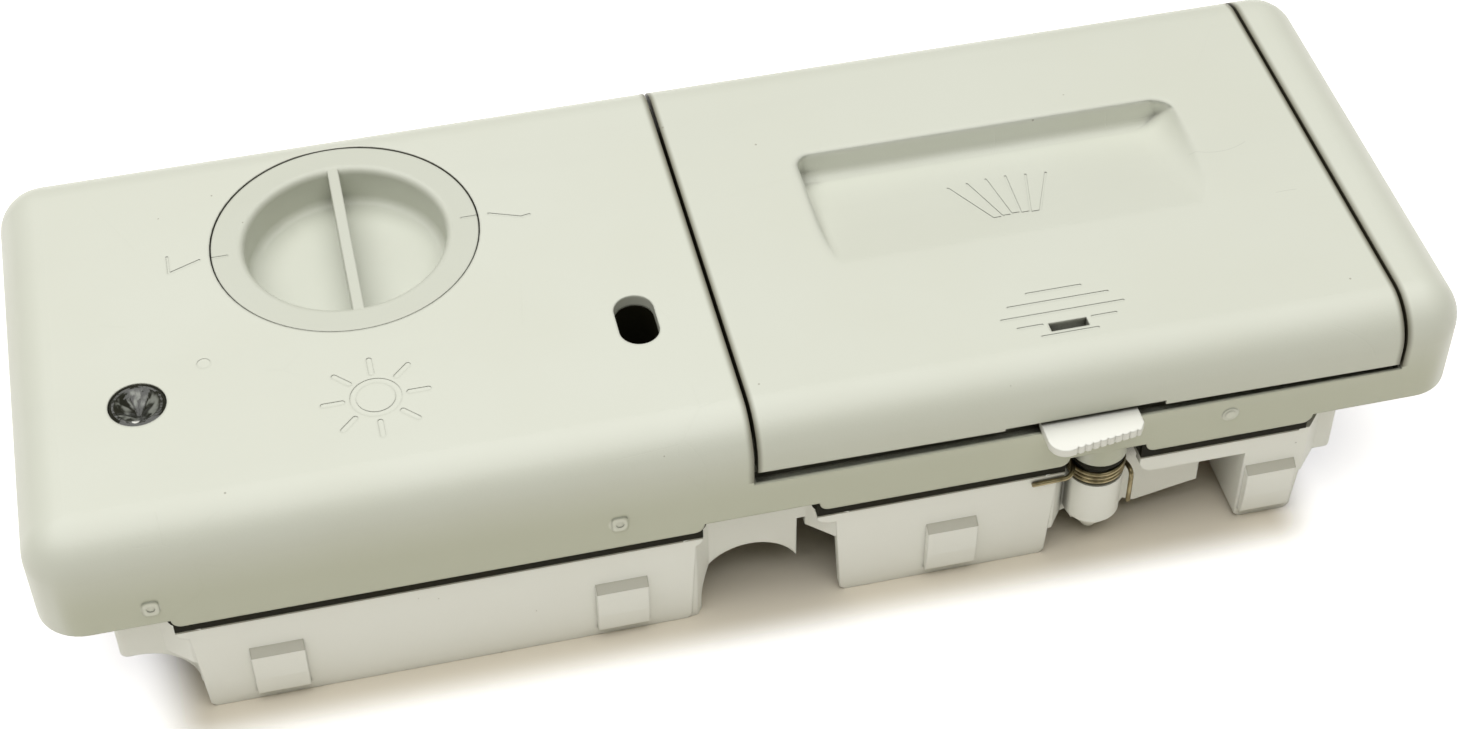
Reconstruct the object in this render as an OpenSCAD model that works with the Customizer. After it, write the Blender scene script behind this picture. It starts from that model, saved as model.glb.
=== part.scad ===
// Dishwasher detergent and rinse aid dispenser, dry side down, fascia up.
// X runs along the fascia, -Y is the latch side, the skirt's lower rim is at Z = 0.

/* [Fascia] */
// Length of the fascia
body_l = 255; // [240:1:280]
// Width of the fascia
body_w = 96; // [92:1:110]
// Height of the fascia from its lower edge to its face
fascia_h = 21.4; // [20:0.2:26]
// Radius of the fascia's upper edges and corners
edge_r = 8.5; // [6:0.5:10]
// Thickness of the moulded skin
skin = 2.5; // [2:0.1:3]
// Depth of the tongues that drop below the fascia's lower edge
tongue_h = 1.9; // [1:0.1:2.5]
// Height of the rubber-filled seam between the tongues and the frame
seam = 3.3; // [2.6:0.1:4]

/* [Lid] */
// Length of the lid
lid_l = 117.8; // [110:0.2:122]
// Distance from the lid's right side to the fascia's right end
lid_margin = 13.2; // [10:0.2:20]
// Width of the gap round the lid
lid_gap = 0.7; // [0.5:0.1:1.2]
// Height of the fascia's strip below the lid's front edge
strip_h = 8; // [7:0.2:9]
// Gap between the strip and the lid's front edge, at its right end
lip_gap = 1.3; // [1:0.1:2]
// How much wider that gap is at its left end
lip_taper = 1.6; // [0:0.1:2]
// Radius of the lid's hinge knuckles
knuckle_r = 3.2; // [2.8:0.1:3.4]
// Radius of the hinge pin
pin_r = 1.25; // [1:0.05:1.5]

/* [Pre-wash scoop] */
// Distance from the scoop's ends to the walls of the well below it
scoop_side = 4.1; // [3:0.1:8]
// Distance from the scoop's rear edge to the well's rear wall
scoop_back = 5.6; // [4:0.1:12]
// Depth of the scoop at its rear wall
scoop_depth = 5.4; // [4:0.1:6]
// Slope of the scoop's floor, in degrees
scoop_slope = 10.5; // [8:0.5:14]
// Radius between the scoop's floor and its walls
scoop_r = 1.6; // [1:0.1:3]
// Radius of the scoop's soft right end
scoop_end_r = 7.4; // [6:0.1:9]

/* [Detergent well] */
// Distance from the lid's left side to the well
well_left = 18.6; // [16:0.1:22]
// Distance from the lid's right side to the well
well_right = 17.4; // [16:0.1:22]
// Width of the well at its rim
well_w = 56; // [46:1:57]
// Depth of the well below its rim
well_depth = 23.5; // [18:0.5:24]
// Thickness of the well's walls
well_wall = 2; // [1.6:0.1:2.4]
// Radius of the well's corners
well_r = 8; // [5:0.5:10]
// Height of the lid's seal
seal_h = 1.7; // [1.4:0.1:2]

/* [Rinse aid cap] */
// Radius of the cap's rim
cap_r = 24.2; // [22:0.1:25]
// Radius of the cap's grip pocket at the face
pocket_r = 19.6; // [17:0.1:20]
// Depth of the grip pocket
pocket_depth = 8; // [6:0.5:9]
// Thickness of the grip bar across the pocket
grip_t = 2; // [1.6:0.1:3]
// Distance from the cap's axis to the fascia's left end
cap_x = 62.2; // [58:0.1:66]
// Distance from the cap's axis to the fascia's rear
cap_y = 31.8; // [31:0.1:34]

/* [Windows] */
// Radius of the level lens
lens_r = 4.9; // [4:0.1:6]
// Distance from the lens to the fascia's left end
lens_x = 22.2; // [20:0.1:26]
// Distance from the lens to the fascia's front
lens_y = 30.8; // [26:0.1:36]
// Width of the rinse aid outlet
outlet_w = 7.2; // [6:0.1:8]
// Length of the rinse aid outlet
outlet_l = 12.2; // [10:0.1:14]
// Distance from the outlet to the lid's left side
outlet_x = 14.6; // [14:0.1:16]
// Distance from the outlet to the fascia's front
outlet_y = 31; // [28:0.1:33]

/* [Frame] */
// Height of the skirt's front segments
skirt_h = 21.8; // [20:0.2:24]
// Thickness of the frame's walls
frame_t = 2; // [1.6:0.1:2.4]
// How far the skirt stands back from the fascia's front
skirt_inset = 1.6; // [1.2:0.1:2]
// How far the set-back walls stand behind the skirt
setback = 4.4; // [4:0.1:5]
// Height of the arched openings
arch_z = 12.4; // [10:0.2:14]
// Width of the snap wedges
wedge_w = 9.4; // [8:0.2:11]
// How far the snap wedges stand out
wedge_out = 1.6; // [1:0.1:1.6]

/* [Latch] */
// Distance from the latch's axis to the lid's right side
latch_x = 53.5; // [50:0.1:56]
// Radius of the boss that carries the latch
boss_r = 5.4; // [5:0.1:6]
// Radius of the latch's shaft
shaft_r = 2.6; // [2.2:0.1:2.8]
// Thickness of the latch's finger tab
tab_t = 1.6; // [1.2:0.1:1.8]
// How far the finger tab stands out of the fascia's front
tab_out = 6.6; // [5:0.1:7]
// Number of turns of the latch spring
spring_turns = 3; // [2:1:4]
// Thickness of the spring wire
wire_d = 0.9; // [0.7:0.1:1]

/* [Actuator] */
// Travel of the armature
stroke = 4; // [3:0.1:4.5]
// Radius of the coil
coil_r = 6.6; // [6:0.1:7]
// Length of the coil
coil_l = 20; // [16:0.5:20]
// Radius of the armature
armature_r = 3.4; // [3:0.1:3.6]
// Distance from the well's underside down to the coil's axis
drive_drop = 9.3; // [9:0.1:9.6]
// Distance from the latch's axis to the drive line
latch_arm = 20.6; // [19:0.1:22]
// Length of the dosing lever's driven arm
lever_arm = 20; // [18:0.5:22]

/* [Hidden] */
$fn = 64;

// Colours of the mouldings and metals
grey = [0.87, 0.87, 0.81];
ivory = [0.90, 0.90, 0.86];
latch_white = [0.95, 0.95, 0.92];
rubber = [0.16, 0.16, 0.16];
steel = [0.70, 0.71, 0.72];
wire = [0.62, 0.56, 0.38];
copper = [0.62, 0.30, 0.16];
natural = [0.86, 0.86, 0.80];

// Clearances
play = 0.05; // radial clearance of a running fit
clear = 0.3; // clearance between pieces that move past each other
eps = 0.01;

// Engraved marks
mark_d = 0.14;
mark_w = 0.45;

// Heights
fascia_z = skirt_h + seam + tongue_h;
top_z = fascia_z + fascia_h;
under_z = top_z - skin;
strip_z = fascia_z + strip_h;
bay_t = 2;
hinge_floor_z = strip_z - 1.8;
rim_z = under_z - seal_h - 0.2;
well_floor_z = rim_z - well_depth;
well_under_z = well_floor_z - well_wall;
boss_z = fascia_z - 4;

// Main lines along X
left_x = -body_l / 2;
right_x = body_l / 2;
front_y = -body_w / 2;
rear_y = body_w / 2;
lid_x1 = right_x - lid_margin;
lid_x0 = lid_x1 - lid_l;
bay_x0 = lid_x0 - lid_gap;
bay_x1 = lid_x1 + lid_gap;

// Places of the features
cap_c = [left_x + cap_x, rear_y - cap_y];
lens_c = [left_x + lens_x, front_y + lens_y];
outlet_c = [lid_x0 - outlet_x, front_y + outlet_y];
latch_c = [lid_x1 - latch_x, front_y + boss_r];
hinge_c = [rear_y - knuckle_r, strip_z + knuckle_r + 0.6];

// Well
well_y0 = front_y + 15.8;
well_x0 = lid_x0 + well_left;
well_y1 = well_y0 + well_w;
well_x1 = lid_x1 - well_right;
scoop_x0 = well_x0 + scoop_side;
scoop_l = well_x1 - scoop_side - scoop_x0;
scoop_rear = well_y1 - scoop_back;

// Frame
skirt_y = front_y + skirt_inset;
ring_y = skirt_y + setback;
rear_setback = 2.4;
ring_back = rear_y - skirt_inset - rear_setback;
ring_x0 = left_x + 11.5;
ring_x1 = right_x - 19.5;
ring_top = fascia_z + 3.2;
ring_r = 1.5;
flange_t = 2;
gasket_t = 1.8;
lip_t = 2.4;
strip_t = 0.9; // how far the rubber strip shows round a tongue

// Screws that hold the frame to the fascia
screw_r = 1.2;
lug_r = 3.4;
frame_screw_c = [[ring_x0 - 5.2, -8], [ring_x0 - 5.2, 30], [ring_x1 + 5, -34], [ring_x1 + 5, 34],
    [lid_x0 - 1.5, ring_y + frame_t + 3.7], [lid_x0 - 1.5, ring_back - frame_t - 3.7]];

// Drive line
drive_y = latch_c[1] + latch_arm;
drive_z = well_under_z - drive_drop;
bar_z = drive_z + 2.9;
bar_t = 2.8;
bar_w = 5;
arm_z = drive_z - 2;
arm_t = 3.6;
drive_pin_r = 1.5;

// A plate from z0 to z1 whose upper edges and corners are rounded to r
module soft_plate(x0, x1, y0, y1, z0, z1, r) {
    w = x1 - x0;
    d = y1 - y0;
    translate([x0, y0, z0]) {
        translate([r, 0, 0]) cube([w - 2 * r, d, z1 - z0 - r]);
        translate([0, r, 0]) cube([w, d - 2 * r, z1 - z0 - r]);
        translate([r, r, 0]) cube([w - 2 * r, d - 2 * r, z1 - z0]);
        for (x = [r, w - r], y = [r, d - r]) {
            translate([x, y, 0]) cylinder(r = r, h = z1 - z0 - r);
            translate([x, y, z1 - z0 - r]) sphere(r = r);
        }
        for (y = [r, d - r]) translate([r, y, z1 - z0 - r]) rotate([0, 90, 0]) cylinder(r = r, h = w - 2 * r);
        for (x = [r, w - r]) translate([x, r, z1 - z0 - r]) rotate([-90, 0, 0]) cylinder(r = r, h = d - 2 * r);
    }
}

// A rectangle with round corners, from corner to corner
module round_rect(x0, x1, y0, y1, r) {
    translate([x0 + r, y0]) square([x1 - x0 - 2 * r, y1 - y0]);
    translate([x0, y0 + r]) square([x1 - x0, y1 - y0 - 2 * r]);
    for (x = [x0 + r, x1 - r], y = [y0 + r, y1 - r]) translate([x, y]) circle(r = r);
}

module round_block(x0, x1, y0, y1, z0, z1, r) {
    translate([0, 0, z0]) linear_extrude(z1 - z0) round_rect(x0, x1, y0, y1, r);
}

module box(x0, x1, y0, y1, z0, z1) {
    translate([x0, y0, z0]) cube([x1 - x0, y1 - y0, z1 - z0]);
}

module rod_z(c, r, z0, z1) {
    translate([c[0], c[1], z0]) cylinder(r = r, h = z1 - z0);
}

module rod_x(y, z, r, x0, x1) {
    translate([x0, y, z]) rotate([0, 90, 0]) cylinder(r = r, h = x1 - x0);
}

module rod_y(x, z, r, y0, y1) {
    translate([x, y0, z]) rotate([-90, 0, 0]) cylinder(r = r, h = y1 - y0);
}

// An upright slot with round ends along Y
module slot_z(c, w, l, z0, z1) {
    box(c[0] - w / 2, c[0] + w / 2, c[1] - (l - w) / 2, c[1] + (l - w) / 2, z0, z1);
    for (s = [-1, 1]) rod_z([c[0], c[1] + s * (l - w) / 2], w / 2, z0, z1);
}

// A tube of the given radius swept along points
function unit(v) = v / norm(v);
function across(t) = unit(cross(t, abs(t[2]) < 0.9 ? [0, 0, 1] : [1, 0, 0]));
module swept_wire(path, r, sides = 8) {
    n = len(path);
    rings = [for (i = [0 : n - 1])
        let (t = unit(path[min(i + 1, n - 1)] - path[max(i - 1, 0)]), u = across(t), v = cross(t, u))
        [for (k = [0 : sides - 1]) path[i] + r * (cos(360 * k / sides) * u + sin(360 * k / sides) * v)]];
    polyhedron(
        points = [for (ring = rings) each ring],
        faces = concat(
            [[for (k = [0 : sides - 1]) k]],
            [for (i = [0 : n - 2], k = [0 : sides - 1])
                let (a = i * sides + k, b = i * sides + (k + 1) % sides) [a, a + sides, b + sides, b]],
            [[for (k = [sides - 1 : -1 : 0]) (n - 1) * sides + k]]));
}

// Points of a helix about Z
function helix(r, z0, pitch, turns, start, steps = 20) = [for (i = [0 : turns * steps])
    let (a = start + 360 * i / steps) [r * cos(a), r * sin(a), z0 + pitch * i / steps]];

// Fascia
module fascia_outer() {
    soft_plate(left_x, right_x, front_y, rear_y, fascia_z, top_z, edge_r);
}

module fascia_inner(drop = 1) {
    soft_plate(left_x + skin, right_x - skin, front_y + skin, rear_y - skin,
        fascia_z - drop, under_z, edge_r - skin);
}

// A tongue across a wall, from z0 up to the fascia's lower edge, with round lower corners
tongue_r = 1.8;
module tongue(x, y, z0, r = tongue_r) {
    box(x[0], x[1], y[0], y[1], z0 + r, fascia_z + eps);
    box(x[0] + r, x[1] - r, y[0], y[1], z0, fascia_z);
    for (xc = [x[0] + r, x[1] - r]) rod_y(xc, z0 + r, r, y[0], y[1]);
}

seg1_x = [ring_x0 + 12.5, lid_x0 - 10.8];
seg2_x = [lid_x0 + 14.5, latch_c[0] - 8.5];
post_x = [ring_x1 - 19.7, ring_x1 - 7.8];
lip1_x = [seg1_x[0] - 2, seg1_x[1] + 1.2];
lip2_x = [seg2_x[0] - 3.4, seg2_x[1] + 1.2];
lip3_x = [latch_c[0] + 7, post_x[1] - 0.8];
front_tongue_x = [lip1_x, lip2_x, lip3_x];
rear_tongue_x = [lip1_x, [lip2_x[0], lip3_x[1]]];

module tongues() {
    for (x = front_tongue_x) tongue(x, [front_y, front_y + skin], skirt_h + seam);
    mirror([0, 1, 0]) for (x = rear_tongue_x) tongue(x, [front_y, front_y + skin], skirt_h + seam);
}

// The bay that the lid lies in
module bay_cut() {
    box(bay_x0, bay_x1, front_y - 1, rear_y + 1, strip_z, top_z + 1);
    box(bay_x1 - 1, bay_x1 + 1.2, rear_y - 17, rear_y - skin, strip_z, top_z + 1);
    box(bay_x0, bay_x1, rear_y - edge_r - 1, rear_y + 1, hinge_floor_z, strip_z + 1);
}

// A gutter behind the front edge of the strip, below the lid's lip
gutter_edge = 0.5;
gutter_w = 2.4;
gutter_d = 1.5;
module gutter() {
    y = front_y + gutter_edge;
    box(bay_x0 + 0.5, bay_x1 - 0.5, y, y + gutter_w, strip_z - gutter_d, strip_z + 1);
}

module bay_walls() {
    intersection() {
        union() {
            box(bay_x0 - skin, bay_x0, front_y, rear_y, strip_z - bay_t, top_z);
            box(bay_x1, bay_x1 + skin + 1.2, front_y, rear_y, strip_z - bay_t, top_z);
            box(bay_x0 - skin, bay_x1 + skin, front_y, rear_y - edge_r - 1, strip_z - bay_t, strip_z);
            box(bay_x0 - skin, bay_x1 + skin, rear_y - edge_r - 3, rear_y, hinge_floor_z - bay_t, hinge_floor_z);
            box(bay_x0 - skin, bay_x1 + skin, rear_y - edge_r - 3, rear_y - edge_r - 1,
                hinge_floor_z - bay_t, strip_z);
        }
        fascia_outer();
    }
}

module well_outer() {
    round_block(well_x0 - well_wall, well_x1 + well_wall, well_y0 - well_wall, well_y1 + well_wall,
        well_under_z, rim_z, well_r + well_wall);
}

module well_inner() {
    round_block(well_x0, well_x1, well_y0, well_y1, well_floor_z, rim_z + 1, well_r);
}

// The ears that carry the hinge pin
ear_w = 6;
ear_x = [lid_x0 + 11, lid_x1 - 17];
module hinge_ears() {
    for (x = ear_x) {
        rod_x(hinge_c[0], hinge_c[1], knuckle_r, x, x + ear_w);
        box(x, x + ear_w, hinge_c[0] - knuckle_r, hinge_c[0] + knuckle_r * 0.5, hinge_floor_z - eps, hinge_c[1]);
    }
}

// Filler neck with a bayonet groove
neck_r = cap_r - 3.8;
neck_wall = 2.8;
seat_z = top_z - 1.4;
seat_shift = 0.16; // the cap stands a little to the front in its recess
neck_z = top_z - 22.4;
groove_z = [top_z - 14.2, top_z - 11.4];
lug_out = 1.3;
module filler_neck() {
    rod_z(cap_c, neck_r + neck_wall, neck_z, under_z + eps);
}

module neck_bores() {
    rod_z(cap_c + [0, seat_shift], cap_r + 0.3, seat_z, top_z + 1);
    rod_z(cap_c, neck_r, neck_z + 2, top_z);
    rod_z(cap_c, neck_r + lug_out + 0.3, groove_z[0], groove_z[1]);
    for (s = [-1, 1]) translate([cap_c[0], cap_c[1], groove_z[1] - eps])
        linear_extrude(seat_z - groove_z[1] + 1)
            intersection() {
                circle(r = neck_r + lug_out + 0.3);
                translate([-5, s > 0 ? 10 : -10 - neck_r]) square([10, neck_r]);
            }
    // the web under the neck keeps three arms and a hub for the dial
    difference() {
        rod_z(cap_c, neck_r, neck_z - 1, neck_z + 2.1);
        rod_z(cap_c, dial_r * 0.6, neck_z - 2, neck_z + 3);
        for (a = [0, 120, 240]) translate([cap_c[0], cap_c[1], neck_z - 2]) rotate([0, 0, a])
            translate([0, -2, 0]) cube([neck_r + 1, 4, 6]);
    }
    rod_z(cap_c, dial_stem_r + play, neck_z - 1, neck_z + 3);
}

dial_r = 9;
dial_stem_r = 2.4;

module latch_boss() {
    rod_z(latch_c, boss_r, boss_z, strip_z);
}

// Posts that the frame is screwed to, and a guide for the pull rod
module screw_posts() {
    for (c = frame_screw_c) rod_z(c, lug_r, ring_top, (c[0] < cap_c[0] ? under_z : strip_z - bay_t) + eps);
}

module rod_guide() {
    x = (well_x0 + latch_c[0]) / 2 - 8;
    for (s = [-1, 1]) translate([x, drive_y + s * (bar_w / 2 + clear + 0.8) - 0.8, bar_z - clear - 1.4])
        cube([4, 1.6, well_under_z - bar_z + clear + 1.5]);
    for (s = [-1, 1]) translate([x, drive_y + s * (bar_w / 2 - 0.25) - 0.65, bar_z - clear - 1.4])
        cube([4, 1.3, 1.4]);
}

// The duct below the rinse aid outlet
duct_z = fascia_z + 0.6;
module outlet_duct() {
    slot_z(outlet_c, outlet_w + 5, outlet_l + 5, duct_z, under_z + eps);
}

// A black rubber sleeve that lines the duct from the skin down to the dosing chamber
sleeve_t = 1;
module outlet_sleeve() {
    color(rubber) difference() {
        slot_z(outlet_c, outlet_w + 2 * sleeve_t, outlet_l + 2 * sleeve_t, duct_z, under_z);
        slot_z(outlet_c, outlet_w, outlet_l, duct_z - 1, under_z + 1);
    }
}

lever_c = [outlet_c[0] + 16, drive_y + lever_arm];
module lever_boss() {
    rod_z(lever_c, 3.6, drive_z + 8, strip_z - bay_t + eps);
}

// Bosses on the well's floor that the yoke is screwed to
module yoke_bosses() {
    for (c = yoke_screw_c) rod_z(c, 3, yoke_top, well_under_z + eps);
}

// Flow marks and pips left on the front wall by the mould
pip_x = [left_x + 19.3, lid_x0 - 24.5, lid_x1 - 31.3];
module pips() {
    z = fascia_z + 4.2;
    out = 0.35;
    for (x = [pip_x[0], pip_x[1]]) difference() {
        translate([x, front_y + 0.5, z]) rotate([90, 0, 0])
            linear_extrude(0.5 + out) round_rect(-1.4, 1.4, -1.7, 1.7, 0.7);
        rod_y(x, z, 0.7, front_y - 1, front_y - out / 2);
    }
    // the third one is an ejector's round button
    rod_y(pip_x[2], z, 1.5, front_y - out * 0.6, front_y + 0.5);
    rod_y(pip_x[2], z, 1, front_y - out, front_y + 0.5);
}

// An engraved line with round ends, on the plane z = 0
module groove(a, b, w = mark_w) {
    d = b - a;
    translate([a[0], a[1], -mark_d]) rotate([0, 0, atan2(d[1], d[0])]) {
        translate([0, -w / 2, 0]) cube([norm(d), w, 1]);
        for (x = [0, norm(d)]) translate([x, 0, 0]) cylinder(r = w / 2, h = 1);
    }
}

// Sun sign for the clear-rinse side, and the arrows that the cap's ticks turn to
sun_r = 4.5;
module fascia_marks() {
    translate([cap_c[0], front_y + 23.1, top_z]) {
        translate([0, 0, -mark_d]) difference() {
            cylinder(r = sun_r, h = 1);
            translate([0, 0, -1]) cylinder(r = sun_r - 1.1, h = 3);
        }
        for (a = [0 : 45 : 315]) rotate([0, 0, a]) groove([sun_r + 1.3, 0], [sun_r + 4.6, 0], 1);
    }
    translate([cap_c[0], cap_c[1], top_z]) for (s = [-1, 1]) {
        base = s * (cap_r + 7.8);
        groove([s * (cap_r + 2.2), 0], [base, -2.2]);
        groove([base, -2.2], [base + 0.8 * (s + 1), 0.1 - s * 2]);
    }
    // gate mark of the mould
    translate([lens_c[0] + 12, lens_c[1] + 7.2, top_z - 0.1]) cylinder(r = 1.2, h = 1);
}

module fascia() {
    color(grey) difference() {
        union() {
            difference() {
                union() {
                    difference() {
                        fascia_outer();
                        fascia_inner();
                    }
                    tongues();
                }
                bay_cut();
            }
            bay_walls();
            well_outer();
            hinge_ears();
            filler_neck();
            latch_boss();
            outlet_duct();
            lever_boss();
            screw_posts();
            tank_walls(tank_top, under_z + eps);
            rod_guide();
            yoke_bosses();
            pips();
        }
        well_inner();
        gutter();
        neck_bores();
        rod_z(latch_c, shaft_r + play, boss_z - 1, strip_z + 1);
        rod_z(latch_c, shaft_r + 1.5, boss_z - 1, boss_z + 1.2);
        rod_z(lens_c, lens_r + 0.15, under_z - 1, top_z + 1);
        rod_z(lens_c, lens_r + 1.4, under_z - 1, under_z + 1);
        slot_z(outlet_c, outlet_w, outlet_l, duct_z - 1, top_z + 1);
        slot_z(outlet_c, outlet_w + 2 * sleeve_t, outlet_l + 2 * sleeve_t, duct_z - 1, under_z);
        rod_z(lever_c, lever_pin_r, drive_z + 7, drive_z + 14);
        for (c = frame_screw_c) rod_z(c, screw_r, ring_top - 1, ring_top + 2.4);
        rod_x(hinge_c[0], hinge_c[1], pin_r + 0.02, ear_x[0] - 1, ear_x[1] + ear_w + 1);
        for (c = yoke_screw_c) rod_z(c, screw_r, well_under_z - 2, well_under_z + 1.2);
        fascia_marks();
    }
}

// Frame
// A snap wedge on the skirt: a steep shoulder above, drawn in below
module wedge(xc, h = skirt_h * 0.59) {
    translate([xc + wedge_w / 2, skirt_y, 0]) rotate([90, 0, -90])
        linear_extrude(wedge_w) polygon([[-eps, 2], [-eps, h + 1.2], [wedge_out, h], [wedge_out, h - 6],
            [wedge_out - 0.5, 2.6], [wedge_out - 0.9, 2]]);
}

// The lip on top of a segment, its ends drawn in below
lip_edge = 0.5; // chamfer on the lip's upper front edge
module lip_plate(x, depth, h = lip_t) {
    difference() {
        translate([0, skirt_y + depth, skirt_h]) rotate([90, 0, 0]) linear_extrude(depth)
            polygon([[x[0], 0], [x[0], -0.45 * h], [x[0] + 0.7, -0.8 * h], [x[0] + 2, -h],
                [x[1] - 2, -h], [x[1] - 0.7, -0.8 * h], [x[1], -0.45 * h], [x[1], 0]]);
        translate([x[0] - 1, skirt_y, skirt_h]) rotate([45, 0, 0])
            translate([0, -lip_edge / sqrt(2), -lip_edge / sqrt(2)])
                cube([x[1] - x[0] + 2, lip_edge * sqrt(2), lip_edge * sqrt(2)]);
    }
}

// One hanging segment of the skirt, with its lip and the turned walls at its ends
module segment(x, lip, depth, turn) {
    taper = 1.2;
    foot = 0.9;
    translate([0, skirt_y + frame_t, 0]) rotate([90, 0, 0]) linear_extrude(frame_t)
        polygon([[x[0] + taper + foot, 0], [x[1] - taper - foot, 0], [x[1] - taper, foot], [x[1], skirt_h - 1],
            [x[0], skirt_h - 1], [x[0] + taper, foot]]);
    lip_plate(lip, depth);
    y = skirt_y + depth;
    w = frame_t * 1.2;
    run = [4.5, 3];
    translate([0, 0, turn[0]]) linear_extrude(skirt_h - turn[0])
        polygon([[x[0], skirt_y + 0.4], [x[0] + w, skirt_y], [x[0] + w - 4, y],
            [x[0] - run[0], y], [x[0] - run[0], y - frame_t]]);
    translate([0, 0, turn[1]]) linear_extrude(skirt_h - turn[1])
        polygon([[x[1], skirt_y + 0.4], [x[1] - w, skirt_y], [x[1] - w + 2, y],
            [x[1] + run[1], y], [x[1] + run[1], y - frame_t]]);
}

// An arch cut out of the walls between two segments
arch_r = arch_z - 2.8;
module arch_cut(x) {
    rod_y(x + arch_r, arch_z - arch_r, arch_r, -body_w, body_w);
    box(x, x + 2 * arch_r - 1.2, -body_w, body_w, -1, arch_z - arch_r);
}

// The flange round the ring, inside the fascia's walls
module flange(z0, z1) {
    out = 2.6;
    round_block(ring_x0 - out, ring_x1 + out, front_y + skin + clear, rear_y - skin - clear, z0, z1, 6);
}

web_x0 = ring_x1 - 26.3;
module ring() {
    y0 = ring_y - 1;
    y1 = ring_y + frame_t + 1;
    arch_x = ring_x0 + 3.1;
    end_z = arch_z - 2.2;
    difference() {
        union() {
            round_block(ring_x0, ring_x1, ring_y, ring_back, 2, ring_top, ring_r);
            flange(ring_top - flange_t, ring_top);
        }
        round_block(ring_x0 + frame_t, ring_x1 - frame_t, ring_y + frame_t, ring_back - frame_t,
            1, ring_top + 1, ring_r / 2);
        // ends: an arch at the left, a flat edge at the right
        box(ring_x0 - 1, arch_x, -body_w, body_w, 1, arch_z);
        rod_y(arch_x, arch_z - arch_r, arch_r, -body_w, body_w);
        box(arch_x, arch_x + arch_r, -body_w, body_w, 1, arch_z - arch_r);
        box(ring_x1 - 8, ring_x1 + 1, -body_w, body_w, 1, end_z);
        // front wall: open behind the segments and the post, its lower edge notched on both sides of the nose
        box(seg1_x[0] + 1, seg1_x[1], y0, y1, 1, skirt_h - lip_t);
        box(seg2_x[0] - 6, seg2_x[1], y0, y1, 1, skirt_h - 2 * lip_t);
        box(web_x0, ring_x1 - 7, y0, y1, 1, skirt_h - 2 * lip_t);
        translate([0, y1, 0]) rotate([90, 0, 0]) linear_extrude(frame_t + 2)
            polygon([[seg2_x[1] - 1, 0], [ring_x1, 0], [web_x0, 7.6], [latch_c[0] + 8.8, 4.9],
                [latch_c[0] + 6.6, 6], [latch_c[0] + nose_r - 0.4, 3], [latch_c[0] - nose_r + 2, 3],
                [latch_c[0] - nose_r + 0.8, 6.1], [seg2_x[1] - 1, 4.2]]);
        // rear wall
        mirror([0, 1, 0]) {
            box(seg1_x[0] - 3, seg1_x[1], -ring_back - 1, 1 - ring_back + frame_t, 1, skirt_h - lip_t);
            box(seg2_x[0], ring_x1 - 8, -ring_back - 1, 1 - ring_back + frame_t, 1, skirt_h - lip_t);
        }
    }
    // lugs for the screws
    for (c = frame_screw_c) {
        rod_z(c, lug_r, ring_top - flange_t, ring_top);
        wall_y = c[1] < 0 ? ring_y + 1 : ring_back - 1;
        if (abs(c[0] - lid_x0) < 10)
            box(c[0] - lug_r, c[0] + lug_r, min(c[1], wall_y), max(c[1], wall_y),
                ring_top - flange_t, ring_top);
    }
}

// The nose below the latch spring, and the cuts that let the latch through
nose_top = skirt_h - 4.5;
nose_r = boss_r - 0.2;
nose_z = 7.5;
tip_r = 1.6;
tip_z = 1.3 + tip_r;
module nose() {
    rod_z(latch_c, nose_r, nose_z, nose_top);
    translate([latch_c[0], latch_c[1], tip_z]) {
        translate([0, 0, -0.3]) cylinder(r1 = tip_r * 0.98, r2 = nose_r, h = nose_z - tip_z + 0.3);
        sphere(r = tip_r);
    }
}

module latch_cuts() {
    rod_z(latch_c, shaft_r + play, 4.5, nose_top + 1);
    rod_z(latch_c, boss_r + clear, nose_top, ring_top + 1);
    // the slot that the driven arm sweeps
    w = 4.2;
    y1 = latch_c[1] + nose_r + 1;
    box(latch_c[0] - w, latch_c[0] + w, latch_c[1], y1, arm_z - clear, arm_z + arm_t + clear);
}

// The post at the right, open at the back
module frame_post() {
    z = well_under_z - 0.6;
    depth = 13;
    foot = 1;
    end_z = arch_z - 2.2;
    difference() {
        translate([0, skirt_y + depth, 0]) rotate([90, 0, 0]) linear_extrude(depth)
            polygon([[post_x[0] + foot, 0], [post_x[1] - 2 * foot, 0], [post_x[1] - foot, foot],
                [post_x[1], z * 0.8], [post_x[1], z], [post_x[0], z], [post_x[0], foot]]);
        box(post_x[0] + frame_t, post_x[1] - frame_t - foot, skirt_y + frame_t, skirt_y + depth + 1, -1, z + 1);
    }
    lip_plate(lip3_x, setback + frame_t);
    lip_plate(lip3_x, frame_t, 1.75 * lip_t);
    translate([0, 0, end_z]) linear_extrude(skirt_h - end_z)
        polygon([[post_x[1] - frame_t, skirt_y], [post_x[1], skirt_y], [post_x[1] + 4, ring_y],
            [post_x[1] + 4, ring_y + frame_t], [post_x[1], ring_y + frame_t]]);
}

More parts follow.
